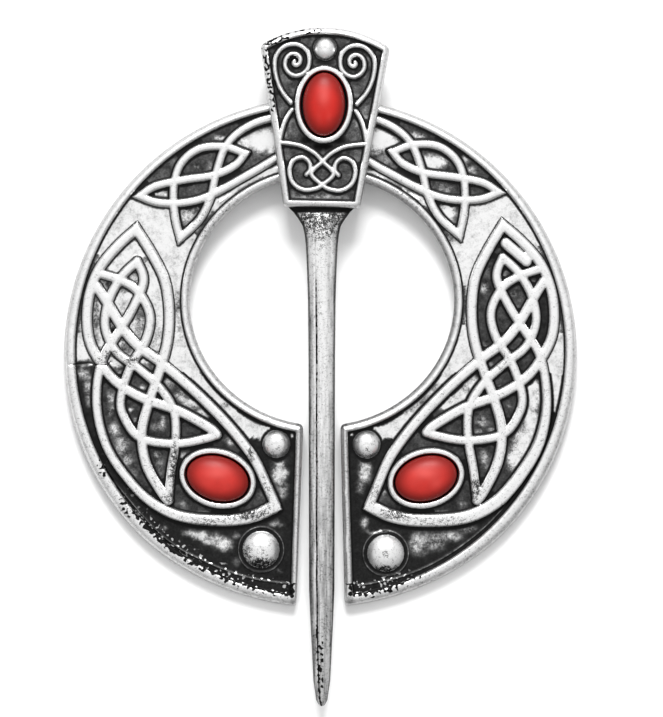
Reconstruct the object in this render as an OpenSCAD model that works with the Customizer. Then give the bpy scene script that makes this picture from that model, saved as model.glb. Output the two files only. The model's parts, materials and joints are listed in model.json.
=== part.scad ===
// Penannular brooch: an open hoop with knotwork wings, and a headed pin that slides round it.
// The hoop is drawn flat on its back, centred on its outside circle, with +Y towards the pin's
// head. Every piece is then tipped by rest_tilt, as the brooch lies on a table: it stands on the
// foot of the pin's strap and on the outer corners of its two terminals.

/* [Hoop] */
// Outside diameter of the hoop, which scales the plan of every piece
hoop_d = 56; // [54:0.5:58]
// Thickness of the hoop from its back to the sunk ground
ground_t = 1.3; // [1.1:0.1:1.6]
// How far the outside wall leans in from the back to the ground
wall_lean = 0.3; // [0.1:0.05:0.4]
// Width of the oval hole
hole_w = 29; // [28.5:0.1:29.2]
// Height of the oval hole
hole_h = 27.4; // [27:0.1:27.6]
// How far the hole sits towards the pin's head from the hoop's centre
hole_up = 6.05; // [5.9:0.05:6.2]
// Width of the gap between the terminals at the hole
gap_in_w = 4.1; // [3.9:0.1:4.4]
// Width of the gap between the terminals at the outside
gap_out_w = 5.4; // [5:0.1:5.8]

/* [Cast relief] */
// Height of the strands and rims above the ground
relief_h = 0.7; // [0.5:0.05:0.75]
// Height of the low panels above the ground
panel_h = 0.4; // [0.3:0.05:0.5]
// Width of a knot strand
strand_w = 0.9; // [0.7:0.05:1]
// Width of the leaf border round each wing's knot
leaf_w = 1.1; // [0.9:0.05:1.2]
// Width of the rims along the hoop's edges
rim_w = 0.85; // [0.6:0.05:1]
// Diameter of the small boss on each terminal
small_boss_d = 2.8; // [2.4:0.1:3]
// Diameter of the large boss on each terminal
large_boss_d = 4; // [3.4:0.1:4.4]
// Height of the terminals' bosses above the ground
boss_h = 0.9; // [0.6:0.05:0.95]

/* [Stones] */
// Width of each oval stone
stone_w = 4.9; // [4.6:0.1:5]
// Length of each oval stone
stone_l = 7; // [6.6:0.1:7.2]
// Height of the stone's straight edge
girdle_h = 1.2; // [1:0.1:1.4]
// Height of the stone's dome above its straight edge
dome_h = 1.3; // [1:0.1:1.6]
// Thickness of the bezel round each stone
bezel_wall = 0.6; // [0.5:0.05:0.7]
// Height of each bezel above the ground
bezel_h = 0.95; // [0.8:0.05:1]
// Depth of each stone's seat below the ground
seat_depth = 0.5; // [0.3:0.1:0.6]
// Gap between a stone and its setting
stone_gap = 0.05; // [0.04:0.01:0.08]

/* [Pin] */
// Length of the head plate, with its arched top
head_l = 19.4; // [19:0.1:20]
// Width of the head plate at its top corners
head_top_w = 13.9; // [13.4:0.1:14.4]
// Width of the head plate at its foot
head_foot_w = 8.1; // [8:0.1:8.6]
// Rise of the arched top of the head plate
head_arch = 2; // [1.6:0.1:2.2]
// Thickness of the head plate
head_t = 1.5; // [1.2:0.1:1.8]
// Width of the head's border
head_border_w = 0.65; // [0.5:0.05:0.7]
// Width of the wires in the head's relief
head_wire_w = 0.5; // [0.4:0.05:0.55]
// Diameter of the boss at the top of the head
head_boss_d = 2.4; // [2:0.1:2.6]
// Angle by which the head leans from the line of the shank
head_lean = 1.2; // [0:0.1:1.5]
// Width of the shank
shank_w = 2.9; // [2.6:0.1:3]
// Thickness of the shank
shank_t = 1.45; // [1.2:0.05:1.6]
// Distance from the hoop's centre to the pin's tip
tip_reach = 38.3; // [38:0.1:40]

/* [Loop behind the head] */
// Width of the plain strap round the hoop
strap_w = 6.6; // [6:0.1:6.8]
// Thickness of the strap behind the hoop
strap_t = 1.25; // [1:0.05:1.4]
// Thickness of the loop's two uprights
upright_t = 1.25; // [1:0.05:1.3]
// Gap between the loop and the hoop
loop_gap = 0.25; // [0.2:0.05:0.3]

/* [Hidden] */
$fn = 96;
silver = "silver";
coral = "firebrick";

// The tables are drawn for a hoop of drawn_d and scaled by k
drawn_d = 56;
k = hoop_d / drawn_d;

// Strands of one wing's knot, with columns x, outwards, and y, towards the pin's head
LEAF_OUTER = [[20.3, 14.6], [22.4, 12.4], [24.5, 9.4], [25.6, 5.8], [25.5, 2], [24.1, -0.9],
    [22.3, -3], [19.4, -4.7], [15.7, -6], [12.1, -7.9], [11, -8.8]];
LEAF_INNER = [[20.3, 14.6], [18.6, 11.5], [17.2, 8.4], [16.7, 5], [16.9, 1.6], [17.8, -1.8],
    [19, -5.3], [19.7, -8.5], [19.2, -11.9], [17.6, -14.9], [16.7, -16]];
LOOP_OUTER = [[20.2, 10.6], [21.9, 8.7], [23.3, 6.1], [23.7, 3.2], [22.5, 0.5], [20, -1.4],
    [17.7, -3.5], [16.2, -6], [16, -9.2], [16.5, -12.6], [16.7, -16]];
LOOP_INNER = [[20.2, 10.6], [19.5, 8.2], [20.7, 5.2], [22.3, 2.5], [23.9, -0.1], [24.6, -3.2],
    [24.5, -6.6], [23.5, -10], [21.6, -13], [18.8, -15.9], [15.3, -17.6], [10.5, -18.1],
    [7.4, -17.5], [4.2, -16.8]];
HAIRPIN_UPPER = [[24.5, 9.1], [21.8, 8.2], [20, 6.9], [18.8, 4.4], [19.3, 1.6], [20.9, -1.1],
    [22, -4.6], [21.6, -6.8], [19.8, -9], [16, -9.6], [12, -9.2], [11, -8.8]];
HAIRPIN_LOWER = [[24.9, 7.9], [23.4, 5.7], [21.7, 2.9], [20, 1], [17.8, -0.6], [14.1, -3.7],
    [10.4, -7.4], [7.3, -11.1], [5.7, -13.9], [4.2, -16.8]];
BAR = [[20.3, 11.8], [22.3, 10], [23.1, 9.1]];

// Strands of the pointed knot beside the head, in the same columns
KNOT_TOP = [[7.8, 22.3], [10.6, 22.9], [13.4, 22.7], [15.4, 21.1], [16.2, 18.6], [16.1, 15.5],
    [15.6, 12.3]];
KNOT_RISE = [[15.6, 12.3], [13.4, 14.7], [12.2, 17.3], [11.6, 19.9], [10.7, 22.6], [9.2, 24.4],
    [6.8, 25.7], [3.6, 26.3], [0, 26.5]];
KNOT_UPPER = [[20.6, 17.4], [18.2, 18.8], [15, 19.3], [11.8, 19.8], [9.3, 21], [7.8, 22.3]];
KNOT_LOWER = [[20.6, 17.4], [17.9, 16.8], [15, 16.8], [12.2, 17.6], [7.8, 20], [4.7, 21.8],
    [2.4, 22.8], [0, 23.2]];

// Low panels behind the head: columns x and y of the corners of one half of each
CARTOUCHE = [[9.1, 23.4], [7.6, 24.7], [5, 25.4], [0, 25.7], [0, 24.1], [5.3, 22.7], [7.2, 23]];
WEDGE = [[11.8, 16.1], [11.3, 17], [7.8, 19], [3.8, 21.2], [0, 22.3], [0, 21.1], [5.6, 20.2],
    [9.2, 18.2]];

// Bosses on one terminal: columns x, y, diameter
BOSSES = [[5, -9.7, small_boss_d], [6.85, -21.4, large_boss_d]];

// Stone in one terminal: x, y and the angle of its long axis
TERMINAL_STONE = [11.4, -13.4, 16.7];

// Relief of the head, from the middle of its foot, in columns x and y. The spiral comes up its
// tail and winds in round SPIRAL_AT, with one radius for each quarter turn.
SPIRAL_AT = [3.55, 15.95];
SPIRAL_R = [1.82, 1.92, 1.88, 1.55, 0.95, 0.72, 0.62, 0.5];
SPIRAL_TAIL = [[3.65, 11.2], [4.5, 12.2], [5.1, 13.7]];
DIAGONAL = [[3.5, 10.4], [4.3, 9.5], [4.9, 8.3]];
HOOK = [[4.7, 6.8], [2.9, 6.6], [1.4, 6], [0, 4.95], [-1, 3.6], [0, 2.25], [1.3, 1.9],
    [2.65, 2.25], [3.5, 3.5], [3.26, 4.65], [2.4, 5.1], [1.6, 4.6], [1.55, 3.9], [1.9, 3.3]];
HEAD_STONE_AT = [0, 11.1];
HEAD_BOSS_AT = [0, 17.3];

// Neck and shank: columns y, half width and thickness as shares of the shank's
SHANK = [[17.4, 2.62, 0.7], [16.2, 2.6, 0.72], [15.7, 2.2, 0.76], [14.9, 1.66, 0.86],
    [14.2, 1.4, 0.94], [13.3, 1.22, 1], [12.2, 1.11, 1], [10.9, 1.05, 1], [8.3, 1.02, 1],
    [-25.6, 0.98, 1], [-28.9, 0.86, 0.96], [-32.1, 0.75, 0.9], [-35.4, 0.64, 0.82],
    [-37.6, 0.42, 0.66], [-38.3, 0.12, 0.4]];
drawn_tip = 38.3;

// Section of the shank: columns x and height, as shares of the half width and the thickness.
// It starts in the groove that runs down the shank beside its ridge.
SECTION = [[-0.36, 0.7], [-0.45, 0.78], [-0.84, 0.7], [-1, 0.4], [-0.8, 0], [0.8, 0], [1, 0.45],
    [0.5, 0.93], [0.1, 1], [-0.25, 0.9]];

// Fineness of the curves: lengths of line between two rows of a table, sides of the round and
// the oval outlines, and rings up a stone's dome
spans = 3;
ring_sides = 120;
oval_sides = 60;
dome_rings = 6;

// Small steps that ease corners and keep joined faces apart, and the length by which a cutting
// shape runs past what it cuts
corner_r = 0.08;
loop_corner_r = 0.5;
edge_step = 0.05;
sink = 0.25;
past = 2;

hoop_r = hoop_d / 2;
hole_y = hole_up * k;
hole_foot_y = hole_y - hole_h * k / 2;
relief_z = ground_t + relief_h;
rim_r = hoop_r - wall_lean - edge_step;

// Levels of the pin above the hoop's back
head_z = relief_z + 0.2;
head_ground_z = head_z + head_t;
shank_z = relief_z + 0.55;
strap_z = -loop_gap - strap_t;

// Places of the pin's head and loop along Y
foot_y = 16.3 * k;
loop_foot_y = 16.9 * k;
loop_end_y = hoop_r + loop_gap + upright_t;

// Tilt at rest, with the strap's foot and the terminals' outer corners on the table, and the
// shift that puts the middle of the whole brooch at the origin
corner_y = sqrt(pow(hoop_r, 2) - pow(gap_out_w * k / 2, 2));
rest_tilt = atan(-strap_z / (loop_foot_y + corner_y));
rest_z = corner_y * sin(rest_tilt);
head_end = (foot_y + head_l * k) * cos(rest_tilt) - head_z * sin(rest_tilt);
tip_end = tip_reach * k * cos(rest_tilt) + shank_z * sin(rest_tilt);
rest_y = (tip_end - head_end) / 2;

// A smooth curve through the points of a table
function blend(a, b, c, d, t) =
    (2 * b + (c - a) * t + (2 * a - 5 * b + 4 * c - d) * pow(t, 2)
    + (3 * b - 3 * c + d - a) * pow(t, 3)) / 2;
function curve(p) = let (last = len(p) - 1) concat(
    [for (i = [0 : last - 1], j = [0 : spans - 1])
        blend(p[max(i - 1, 0)], p[i], p[i + 1], p[min(i + 2, last)], j / spans)],
    [p[last]]);

// The points of a curve moved sideways, and the outline between two such sides
function beside(q, away) = [for (i = [0 : len(q) - 1])
    let (ahead = q[min(i + 1, len(q) - 1)] - q[max(i - 1, 0)])
    q[i] + away * [-ahead[1], ahead[0]] / norm(ahead)];
function turned(list) = [for (i = [len(list) - 1 : -1 : 0]) list[i]];
function ribbon(q, w) = concat(beside(q, w / 2), turned(beside(q, -w / 2)));

// Triangles that join rings of n points each, numbered ring by ring
function walls(rings, n) = [for (r = [0 : n : n * (rings - 2)], i = [0 : n - 1])
    let (j = (i + 1) % n) each [[r + i, r + n + i, r + j], [r + j, r + n + i, r + n + j]]];

// The spiral's points, and half the width of the gap at a place along Y
function spiral() = concat(SPIRAL_TAIL, [for (i = [0 : len(SPIRAL_R) - 1])
    SPIRAL_AT + SPIRAL_R[i] * [cos(90 * i), sin(90 * i)]]);
function gap_half(y) = k / 2 * (gap_in_w
    + (gap_out_w - gap_in_w) * (hole_foot_y - y) / (hole_foot_y + hoop_r));

// Points of the head's outline: the foot, and the arched top between the corners
function arch_r() = (pow(head_top_w / 2, 2) + pow(head_arch, 2)) / (2 * head_arch);
function head_points() = let (reach = asin(head_top_w / 2 / arch_r())) concat(
    [[-head_foot_w / 2, 0], [head_foot_w / 2, 0]],
    [for (i = [0 : 12]) let (a = 90 - reach + i * reach / 6)
        [arch_r() * cos(a), head_l - arch_r() + arch_r() * sin(a)]]);

// One ring of the shank for each row of its table
function shank_points() = [for (row = SHANK, s = SECTION)
    [s[0] * row[1] * shank_w / 2,
    (row[0] < 0 ? row[0] * tip_reach / drawn_tip : row[0]) * k,
    shank_z + s[1] * row[2] * shank_t]];

module placed() {
    translate([0, rest_y, rest_z]) rotate([rest_tilt, 0, 0]) children();
}

module on_head() {
    translate([0, foot_y, 0]) rotate(-head_lean) children();
}

module both_sides() {
    children();
    mirror([1, 0, 0]) children();
}

module ribbon_of(table, w) {
    polygon(ribbon(curve(table), w));
}

module oval(w, h) {
    polygon([for (i = [0 : oval_sides - 1]) let (a = i * 360 / oval_sides)
        [w / 2 * cos(a), h / 2 * sin(a)]]);
}

// Rounds the outer corners of the outlines drawn in it
module eased() {
    offset(r = corner_r, $fn = 12) offset(delta = -corner_r) children();
}

module boss(d, h) {
    ball_r = (pow(d / 2, 2) + pow(h, 2)) / (2 * h);
    intersection() {
        translate([0, 0, h - ball_r]) sphere(r = ball_r);
        translate([0, 0, -sink]) cylinder(d = d, h = h + 2 * sink);
    }
}

module bezel() {
    grow = 2 * (stone_gap + bezel_wall);
    translate([0, 0, -sink]) linear_extrude(bezel_h + sink) oval(stone_l + grow, stone_w + grow);
}

module seat() {
    grow = 2 * stone_gap;
    translate([0, 0, -seat_depth])
        linear_extrude(seat_depth + bezel_h + past) oval(stone_l + grow, stone_w + grow);
}

module stone() {
    rings = concat([[1, 0]], [for (i = [0 : dome_rings - 1]) let (a = 90 * i / dome_rings)
        [cos(a), girdle_h + dome_h * sin(a)]]);
    points = [for (row = rings, i = [0 : oval_sides - 1]) let (a = i * 360 / oval_sides)
        [row[0] * stone_l / 2 * cos(a), row[0] * stone_w / 2 * sin(a), row[1]]];
    tip = len(points);
    translate([0, 0, stone_gap - seat_depth])
        polyhedron(concat(points, [[0, 0, girdle_h + dome_h]]), concat(
            walls(len(rings), oval_sides),
            [[for (i = [0 : oval_sides - 1]) i]],
            [for (i = [0 : oval_sides - 1])
                [tip - oval_sides + (i + 1) % oval_sides, tip - oval_sides + i, tip]]));
}

module at_terminal_stone() {
    translate([TERMINAL_STONE[0] * k, TERMINAL_STONE[1] * k, ground_t])
        rotate(TERMINAL_STONE[2]) children();
}

module at_head_stone() {
    on_head() translate([HEAD_STONE_AT[0] * k, HEAD_STONE_AT[1] * k, head_ground_z])
        rotate(90) children();
}

module gap_outline(rim = 0) {
    high = hole_foot_y + past;
    low = -hoop_r - past;
    polygon([[-gap_half(high) - rim, high], [gap_half(high) + rim, high],
        [gap_half(low) + rim, low], [-gap_half(low) - rim, low]]);
}

module hole_outline(rim = 0) {
    translate([0, hole_y]) oval(hole_w * k + 2 * rim, hole_h * k + 2 * rim);
}

// The knots of both wings, and the pointed knots beside the head
module knots() {
    scale(k) both_sides() {
        for (table = [LEAF_OUTER, LEAF_INNER]) ribbon_of(table, leaf_w);
        for (table = [LOOP_OUTER, LOOP_INNER, HAIRPIN_UPPER, BAR]) ribbon_of(table, strand_w);
        for (table = [KNOT_TOP, KNOT_RISE, KNOT_UPPER, KNOT_LOWER]) ribbon_of(table, strand_w);
        ribbon_of(HAIRPIN_LOWER, leaf_w);
    }
}

// The rims along the hoop's outside, its hole and its gap
module rims() {
    difference() {
        circle(r = rim_r, $fn = ring_sides);
        circle(r = rim_r - rim_w, $fn = ring_sides);
    }
    intersection() {
        circle(r = rim_r, $fn = ring_sides);
        difference() {
            union() {
                hole_outline(rim_w + edge_step);
                gap_outline(rim_w);
            }
            hole_outline(edge_step);
        }
    }
}

module hoop_relief() {
    linear_extrude(relief_h + sink) eased() difference() {
        union() {
            knots();
            rims();
        }
        hole_outline(edge_step);
        gap_outline(edge_step);
    }
}

module hoop_panels() {
    linear_extrude(panel_h + sink) eased() scale(k) both_sides() {
        polygon(CARTOUCHE);
        polygon(WEDGE);
    }
}

module band() {
    difference() {
        cylinder(r1 = hoop_r, r2 = hoop_r - wall_lean, h = ground_t);
        translate([0, 0, -past]) linear_extrude(ground_t + 2 * past) {
            hole_outline();
            gap_outline();
        }
    }
}

// The hoop is one casting: the open band, its relief, its bosses and its two bezels
module hoop() {
    color(silver) placed() difference() {
        union() {
            band();
            translate([0, 0, ground_t - sink]) {
                hoop_relief();
                hoop_panels();
            }
            both_sides() {
                at_terminal_stone() bezel();
                for (b = BOSSES) translate([b[0] * k, b[1] * k, ground_t]) boss(b[2], boss_h);
            }
        }
        both_sides() at_terminal_stone() seat();
    }
}

module head_relief() {
    linear_extrude(relief_h + sink) eased() intersection() {
        offset(delta = -edge_step) polygon(head_points());
        union() {
            difference() {
                polygon(head_points());
                offset(delta = -head_border_w) polygon(head_points());
            }
            both_sides() {
                ribbon_of(spiral(), head_wire_w);
                ribbon_of(DIAGONAL, head_wire_w);
                ribbon_of(HOOK, head_wire_w);
            }
        }
    }
}

module head() {
    on_head() {
        translate([0, 0, head_z]) linear_extrude(head_t) scale(k) polygon(head_points());
        translate([0, 0, head_ground_z - sink]) scale([k, k, 1]) head_relief();
        translate([HEAD_BOSS_AT[0] * k, HEAD_BOSS_AT[1] * k, head_ground_z])
            boss(head_boss_d, boss_h);
    }
    at_head_stone() bezel();
}

// The plain loop behind the head, drawn from the side and as wide as the strap
module loop() {
    inner_y = loop_foot_y + upright_t;
    rotate([90, 0, 90]) linear_extrude(strap_w, center = true) difference() {
        offset(r = loop_corner_r, $fn = 24) offset(delta = -loop_corner_r)
            translate([loop_foot_y, strap_z])
            square([loop_end_y - loop_foot_y, head_ground_z - sink - strap_z]);
        translate([inner_y, -loop_gap])
            square([loop_end_y - upright_t - inner_y, head_z + sink + loop_gap]);
    }
}

module shank() {
    n = len(SECTION);
    last = n * (len(SHANK) - 1);
    polyhedron(shank_points(), concat(walls(len(SHANK), n),
        [[for (i = [0 : n - 1]) i], [for (i = [n - 1 : -1 : 0]) last + i]]));
}

// The pin is one casting: the head, the loop behind it and the shank
module pin() {
    color(silver) placed() difference() {
        union() {
            head();
            loop();
            shank();
        }
        at_head_stone() seat();
    }
}

module head_stone() {
    color(coral) placed() at_head_stone() stone();
}

module right_stone() {
    color(coral) placed() at_terminal_stone() stone();
}

module left_stone() {
    color(coral) placed() mirror([1, 0, 0]) at_terminal_stone() stone();
}

hoop();
pin();
head_stone();
left_stone();
right_stone();
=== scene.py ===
"""Looks of a penannular brooch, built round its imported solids.

The hoop and the pin's head are cast plates: height fields over a plan, meshed along every raised
edge, with walls and a back. The shank and the loop behind the head are swept along their length,
and the stones are turned ovals. Plans are in millimetres in the brooch's own frame, where the
hoop's back is at height 0, its centre at the origin, and +Y runs towards the pin's head. A
Placement carries them to the row frame, in metres.
"""

import json
import logging
import math
from collections.abc import Callable
from dataclasses import dataclass, field
from enum import Enum
from typing import ClassVar, NamedTuple

import bpy
import numpy as np
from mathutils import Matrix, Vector
from mathutils.geometry import delaunay_2d_cdt


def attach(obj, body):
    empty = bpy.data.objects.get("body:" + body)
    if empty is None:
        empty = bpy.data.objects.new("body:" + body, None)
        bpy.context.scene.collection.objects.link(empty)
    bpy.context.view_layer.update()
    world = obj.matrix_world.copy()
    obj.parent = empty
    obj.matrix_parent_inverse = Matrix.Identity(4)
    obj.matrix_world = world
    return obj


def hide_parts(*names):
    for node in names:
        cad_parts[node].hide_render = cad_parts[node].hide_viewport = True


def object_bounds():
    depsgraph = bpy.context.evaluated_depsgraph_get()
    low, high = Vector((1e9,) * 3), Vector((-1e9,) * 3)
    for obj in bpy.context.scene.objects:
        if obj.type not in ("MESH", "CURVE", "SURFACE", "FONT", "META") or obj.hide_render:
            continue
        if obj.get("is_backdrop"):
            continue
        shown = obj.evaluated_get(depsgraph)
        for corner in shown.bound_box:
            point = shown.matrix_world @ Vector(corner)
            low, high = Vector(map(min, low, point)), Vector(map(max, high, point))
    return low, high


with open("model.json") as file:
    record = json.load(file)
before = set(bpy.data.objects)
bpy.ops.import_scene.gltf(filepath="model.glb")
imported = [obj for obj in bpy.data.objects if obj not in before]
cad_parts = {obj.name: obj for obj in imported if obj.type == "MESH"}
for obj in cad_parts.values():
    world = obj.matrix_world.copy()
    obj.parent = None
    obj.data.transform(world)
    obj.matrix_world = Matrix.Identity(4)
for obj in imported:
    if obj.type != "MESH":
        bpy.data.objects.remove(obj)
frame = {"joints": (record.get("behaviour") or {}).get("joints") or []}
CAD_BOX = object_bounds()

Array = np.ndarray
Move = Callable[[Array], Array]
Pair = tuple[float, float]
Triple = tuple[float, float, float]
Levels = tuple[float, ...]
Table = tuple[tuple[float, ...], ...]
Socket = bpy.types.NodeSocket
Value = Socket | float
log = logging.getLogger("brooch")

MM = 0.001

# A distance in mm that stands for no edge near, and the distances between which a finish reads it
NO_LIMIT = 9.0
EDGE_SPAN = (-1.0, 1.6)

# The darkness of the hoop's open ground where it is rubbed bright and where it is black
PALE_GROUND = 0.12
DARK_GROUND = 0.86

# How far in mm a stone's foot lies below the ground round it
BED = 0.45

# The distance between two staggered rows of points as a share of their step
ROW_SHARE = 0.866

# The strands of one wing's knot, in columns x, outwards, and y, towards the pin's head
LEAF_OUTER: Table = (
    (20.3, 13.9), (22.4, 12), (24.5, 9.3), (25.6, 5.8), (25.5, 2), (24.1, -0.9),
    (22.3, -3), (19.4, -4.7), (15.7, -6), (12.4, -7.8), (11.5, -8.6),
)
LEAF_INNER: Table = (
    (20.3, 13.9), (18.6, 11.2), (17.2, 8.3), (16.7, 5), (16.9, 1.6), (17.8, -1.8),
    (19, -5.3), (19.7, -8.5), (19.2, -11.9), (17.6, -14.8), (16.8, -15.8),
)
LOOP_OUTER: Table = (
    (20.2, 10.35), (21.9, 8.7), (23.3, 6.1), (23.7, 3.2), (22.5, 0.5), (20, -1.4),
    (17.7, -3.5), (16.2, -6), (16, -9.2), (16.5, -12.6), (16.8, -15.8),
)
LOOP_INNER: Table = (
    (20.2, 10.35), (19.5, 8.2), (20.7, 5.2), (22.3, 2.5), (23.9, -0.1), (24.6, -3.2),
    (24.5, -6.6), (23.5, -10), (21.6, -13), (18.8, -15.9), (15.3, -17.6), (10.5, -18),
    (7.4, -17.5), (5.2, -16.5),
)
HAIRPIN_UPPER: Table = (
    (24.5, 9.1), (21.8, 8.2), (20, 6.9), (18.8, 4.4), (19.3, 1.6), (20.9, -1.1),
    (22, -4.6), (21.6, -6.8), (19.8, -9), (16, -9.6), (12.6, -9), (11.5, -8.6),
)
HAIRPIN_LOWER: Table = (
    (24.6, 7.6), (23.4, 5.7), (21.7, 2.9), (20, 1), (17.8, -0.6), (14.1, -3.7),
    (10.4, -7.4), (7.5, -11.1), (6.1, -14), (5.03, -16.42),
)
BAR: Table = ((20.6, 11.9), (22.8, 9.9))

# The fine ridges along both terminals
LEFT_RIDGE: Table = (
    (-23.9, -12), (-22.6, -13.9), (-18.5, -18.7), (-16, -20.8), (-14, -21.9), (-12, -22.85),
    (-10, -23.65), (-8, -24.25), (-6, -24.65), (-3.75, -24.9),
)
RIGHT_RIDGE: Table = (
    (3.85, -24.7), (4.1, -25.1), (6, -24.8), (8.9, -24.1), (12.2, -22.7),
    (15.4, -20.7), (18.6, -18), (21.1, -14.95), (23.4, -11.6), (24.4, -9.5),
)

# The strands of the pointed knot beside the head, in the same columns
KNOT_TOP: Table = (
    (8.4, 22.15), (10.6, 22.9), (13.4, 22.7), (15.4, 21.1), (16.2, 18.6), (16.1, 15.5),
    (15.5, 12.9),
)
KNOT_RISE: Table = (
    (15.5, 12.9), (13.4, 14.9), (12.2, 17.3), (11.6, 19.9), (10.7, 22.6), (9.2, 24.4),
    (6.8, 25.7), (3.6, 26.3), (0, 26.5),
)
KNOT_UPPER: Table = (
    (19.9, 17.5), (18.2, 18.6), (15, 19.3), (11.8, 19.8), (9.6, 20.8), (8.4, 22.15),
)
KNOT_LOWER: Table = (
    (19.9, 17.5), (17.9, 16.8), (15, 16.8), (12.2, 17.6), (7.8, 20), (4.7, 21.8),
    (2.4, 22.8), (0, 23.2),
)

# What lies inside the knot beside the head, in columns x and y of its corners
KNOT_GROUND: Table = (
    (19.9, 17.5), (17.9, 16.8), (16.1, 16.8), (15.9, 14.9), (15.5, 12.9), (13.4, 14.9),
    (12.2, 17.5), (7.8, 20), (4.7, 21.8), (0, 23.2), (0, 28.5), (12, 26), (20.5, 19),
)

# One half of the low wedge behind the head, in columns x and y of its corners
WEDGE: Table = (
    (11.8, 16.1), (11.3, 17), (7.8, 19), (3.8, 21.2), (0, 22.3), (0, 21.1), (5.6, 20.2),
    (9.2, 18.2),
)

# Relief of the head from the middle of its foot, in columns x and y
SPIRAL_TAIL: Table = ((3.6, 11.2), (4.66, 12.55), (5.28, 14.1))
SPIRAL_RADII = (2.25, 1.84, 1.52, 1.6, 1.1, 0.78, 0.52, 0.45, 0.1)
DIAGONAL: Table = ((3.5, 10.45), (4.06, 9.5), (4.45, 8.4), (4.7, 7.2))
HOOK: Table = (
    (4.7, 6.9), (2.5, 6.6), (0.95, 5.85), (0, 4.9), (-1.2, 3.6), (0, 2.35), (0.8, 1.92),
    (2.05, 1.8), (3.2, 2.5), (3.6, 3.8), (3.2, 4.95), (2.25, 5.33), (1.5, 4.85), (1.35, 4),
    (1.75, 3.45),
)

# Where the head's ground is darker or paler: x, y, reach along x and y, and darkness. The black
# rows just below the bezel and the boss are painted shadow.
HEAD_TONE_AND_SHADOW: Table = (
    (0, 14.6, 1.6, 0.8, 0.72), (-4.3, 8.6, 0.8, 1.6, 0.5), (4.3, 8.8, 0.9, 1.8, 0.5),
    (0, 0.95, 3, 0.4, 0.5), (-5.2, 16.2, 0.4, 1.8, 0.8), (0.1, 4.9, 0.7, 0.8, 0.5),
    (0, 6.5, 1.4, 0.45, 1), (-1.8, 7.2, 0.8, 0.5, 0.95), (1.8, 7.2, 0.8, 0.5, 0.95),
    (0, 15.75, 1.1, 0.4, 0.9), (0, 18.75, 5.5, 0.35, 0.8),
)

# The left wing's tarnish, in the same columns
LEFT_TONE: Table = (
    (-26.35, 5.2, 0.5, 0.7, 0.6), (-18, 2.1, 0.9, 2.4, 0.22), (-20.6, 8.7, 0.6, 0.7, 0.45),
    (-23.4, 7.8, 0.45, 0.6, 0.82), (-21.4, 7.2, 0.9, 0.35, 0.5), (-21.8, 5.1, 0.8, 0.6, 0.2),
    (-24.7, 3.5, 0.5, 3.2, 0.5), (-19.9, 3.5, 0.9, 1.9, 0.42), (-19.7, 4.7, 0.5, 0.7, 0.6),
    (-22.9, 2.8, 0.5, 0.5, 0.92), (-21.3, 0.8, 1, 0.9, 0.55), (-15.7, 5.6, 0.5, 1.3, 0.45),
    (-15.7, 2.8, 0.5, 1.2, 0.25), (-26, -0.75, 1.3, 0.35, 0.8), (-26, -2, 0.7, 0.8, 0.4),
    (-25.6, -3.7, 0.4, 1.3, 0.42), (-25.4, -5.1, 0.3, 0.5, 0.55), (-23.1, -4.5, 0.35, 0.9, 0.42),
    (-23.1, -6, 0.35, 0.6, 0.3), (-22.7, -8.2, 0.6, 0.9, 0.4), (-21.9, -9.9, 0.8, 1.1, 0.4),
    (-21.3, -11.4, 0.6, 0.8, 0.42), (-20.7, -12.7, 0.4, 0.7, 0.58), (-22.2, -1.8, 0.4, 0.3, 0.5),
    (-19.6, -3.4, 0.28, 0.25, 0.06), (-18.9, -1.1, 0.8, 0.6, 0.6), (-20.9, -5.8, 0.2, 0.4, 0.04),
    (-20.5, -7.2, 0.4, 0.5, 0.45), (-17.8, -7.8, 0.9, 0.5, 0.5), (-17.3, -7.2, 0.25, 0.6, 0.3),
    (-18, -10.7, 0.3, 0.28, 0.06), (-17.8, -12, 0.4, 1.3, 0.58), (-16.6, -3, 0.6, 0.7, 0.5),
    (-15.5, -4.2, 0.7, 0.6, 0.3), (-14.3, -5.2, 1, 0.6, 0.22), (-12.9, -6.3, 0.8, 0.5, 0.35),
    (-10.8, -5.5, 0.5, 0.5, 0.4), (-10, -9.3, 0.5, 0.5, 0.4), (-14.9, -11, 0.5, 0.5, 0.4),
    (-4.6, -12.8, 0.8, 1.6, 0.12), (-4.2, -14.7, 0.5, 0.9, 0.4), (-13.4, -19.7, 1, 0.5, 0.16),
    (-14.8, -19.4, 0.6, 0.35, 0.4), (-12, -20.1, 1.2, 0.6, 0.3), (-10.7, -20.6, 1, 0.8, 0.35),
    (-9.4, -19.7, 0.4, 0.3, 0.45), (-17.3, -18.7, 0.4, 0.25, 0.45), (-9.3, -22.6, 0.5, 0.5, 0.6),
    (-5, -18.45, 0.9, 0.22, 0.45), (-15, -16.3, 0.5, 0.35, 0.5), (-12.9, -17.2, 1.3, 0.2, 0.4),
    (-6.5, -14.8, 0.35, 0.8, 0.6), (-4.6, -23.6, 0.25, 0.2, 0.3), (-3.4, -8.4, 0.3, 0.3, 0.4),
    (-13.7, 20.7, 0.25, 0.25, 0.3), (-12.2, 20.8, 0.3, 0.5, 0.55), (-18, 17.7, 1.2, 0.3, 0.1),
    (-14.6, 15.2, 1, 1, 0.3), (-13.3, 16.2, 0.5, 0.5, 0.4), (-10.9, 23.8, 0.8, 0.3, 0.2),
    (-8.6, 23.2, 1, 1.2, 0.4), (-6.5, 23.6, 2.2, 1.4, 0.02), (-8, 21.4, 1.2, 0.8, 0.62),
)

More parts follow.
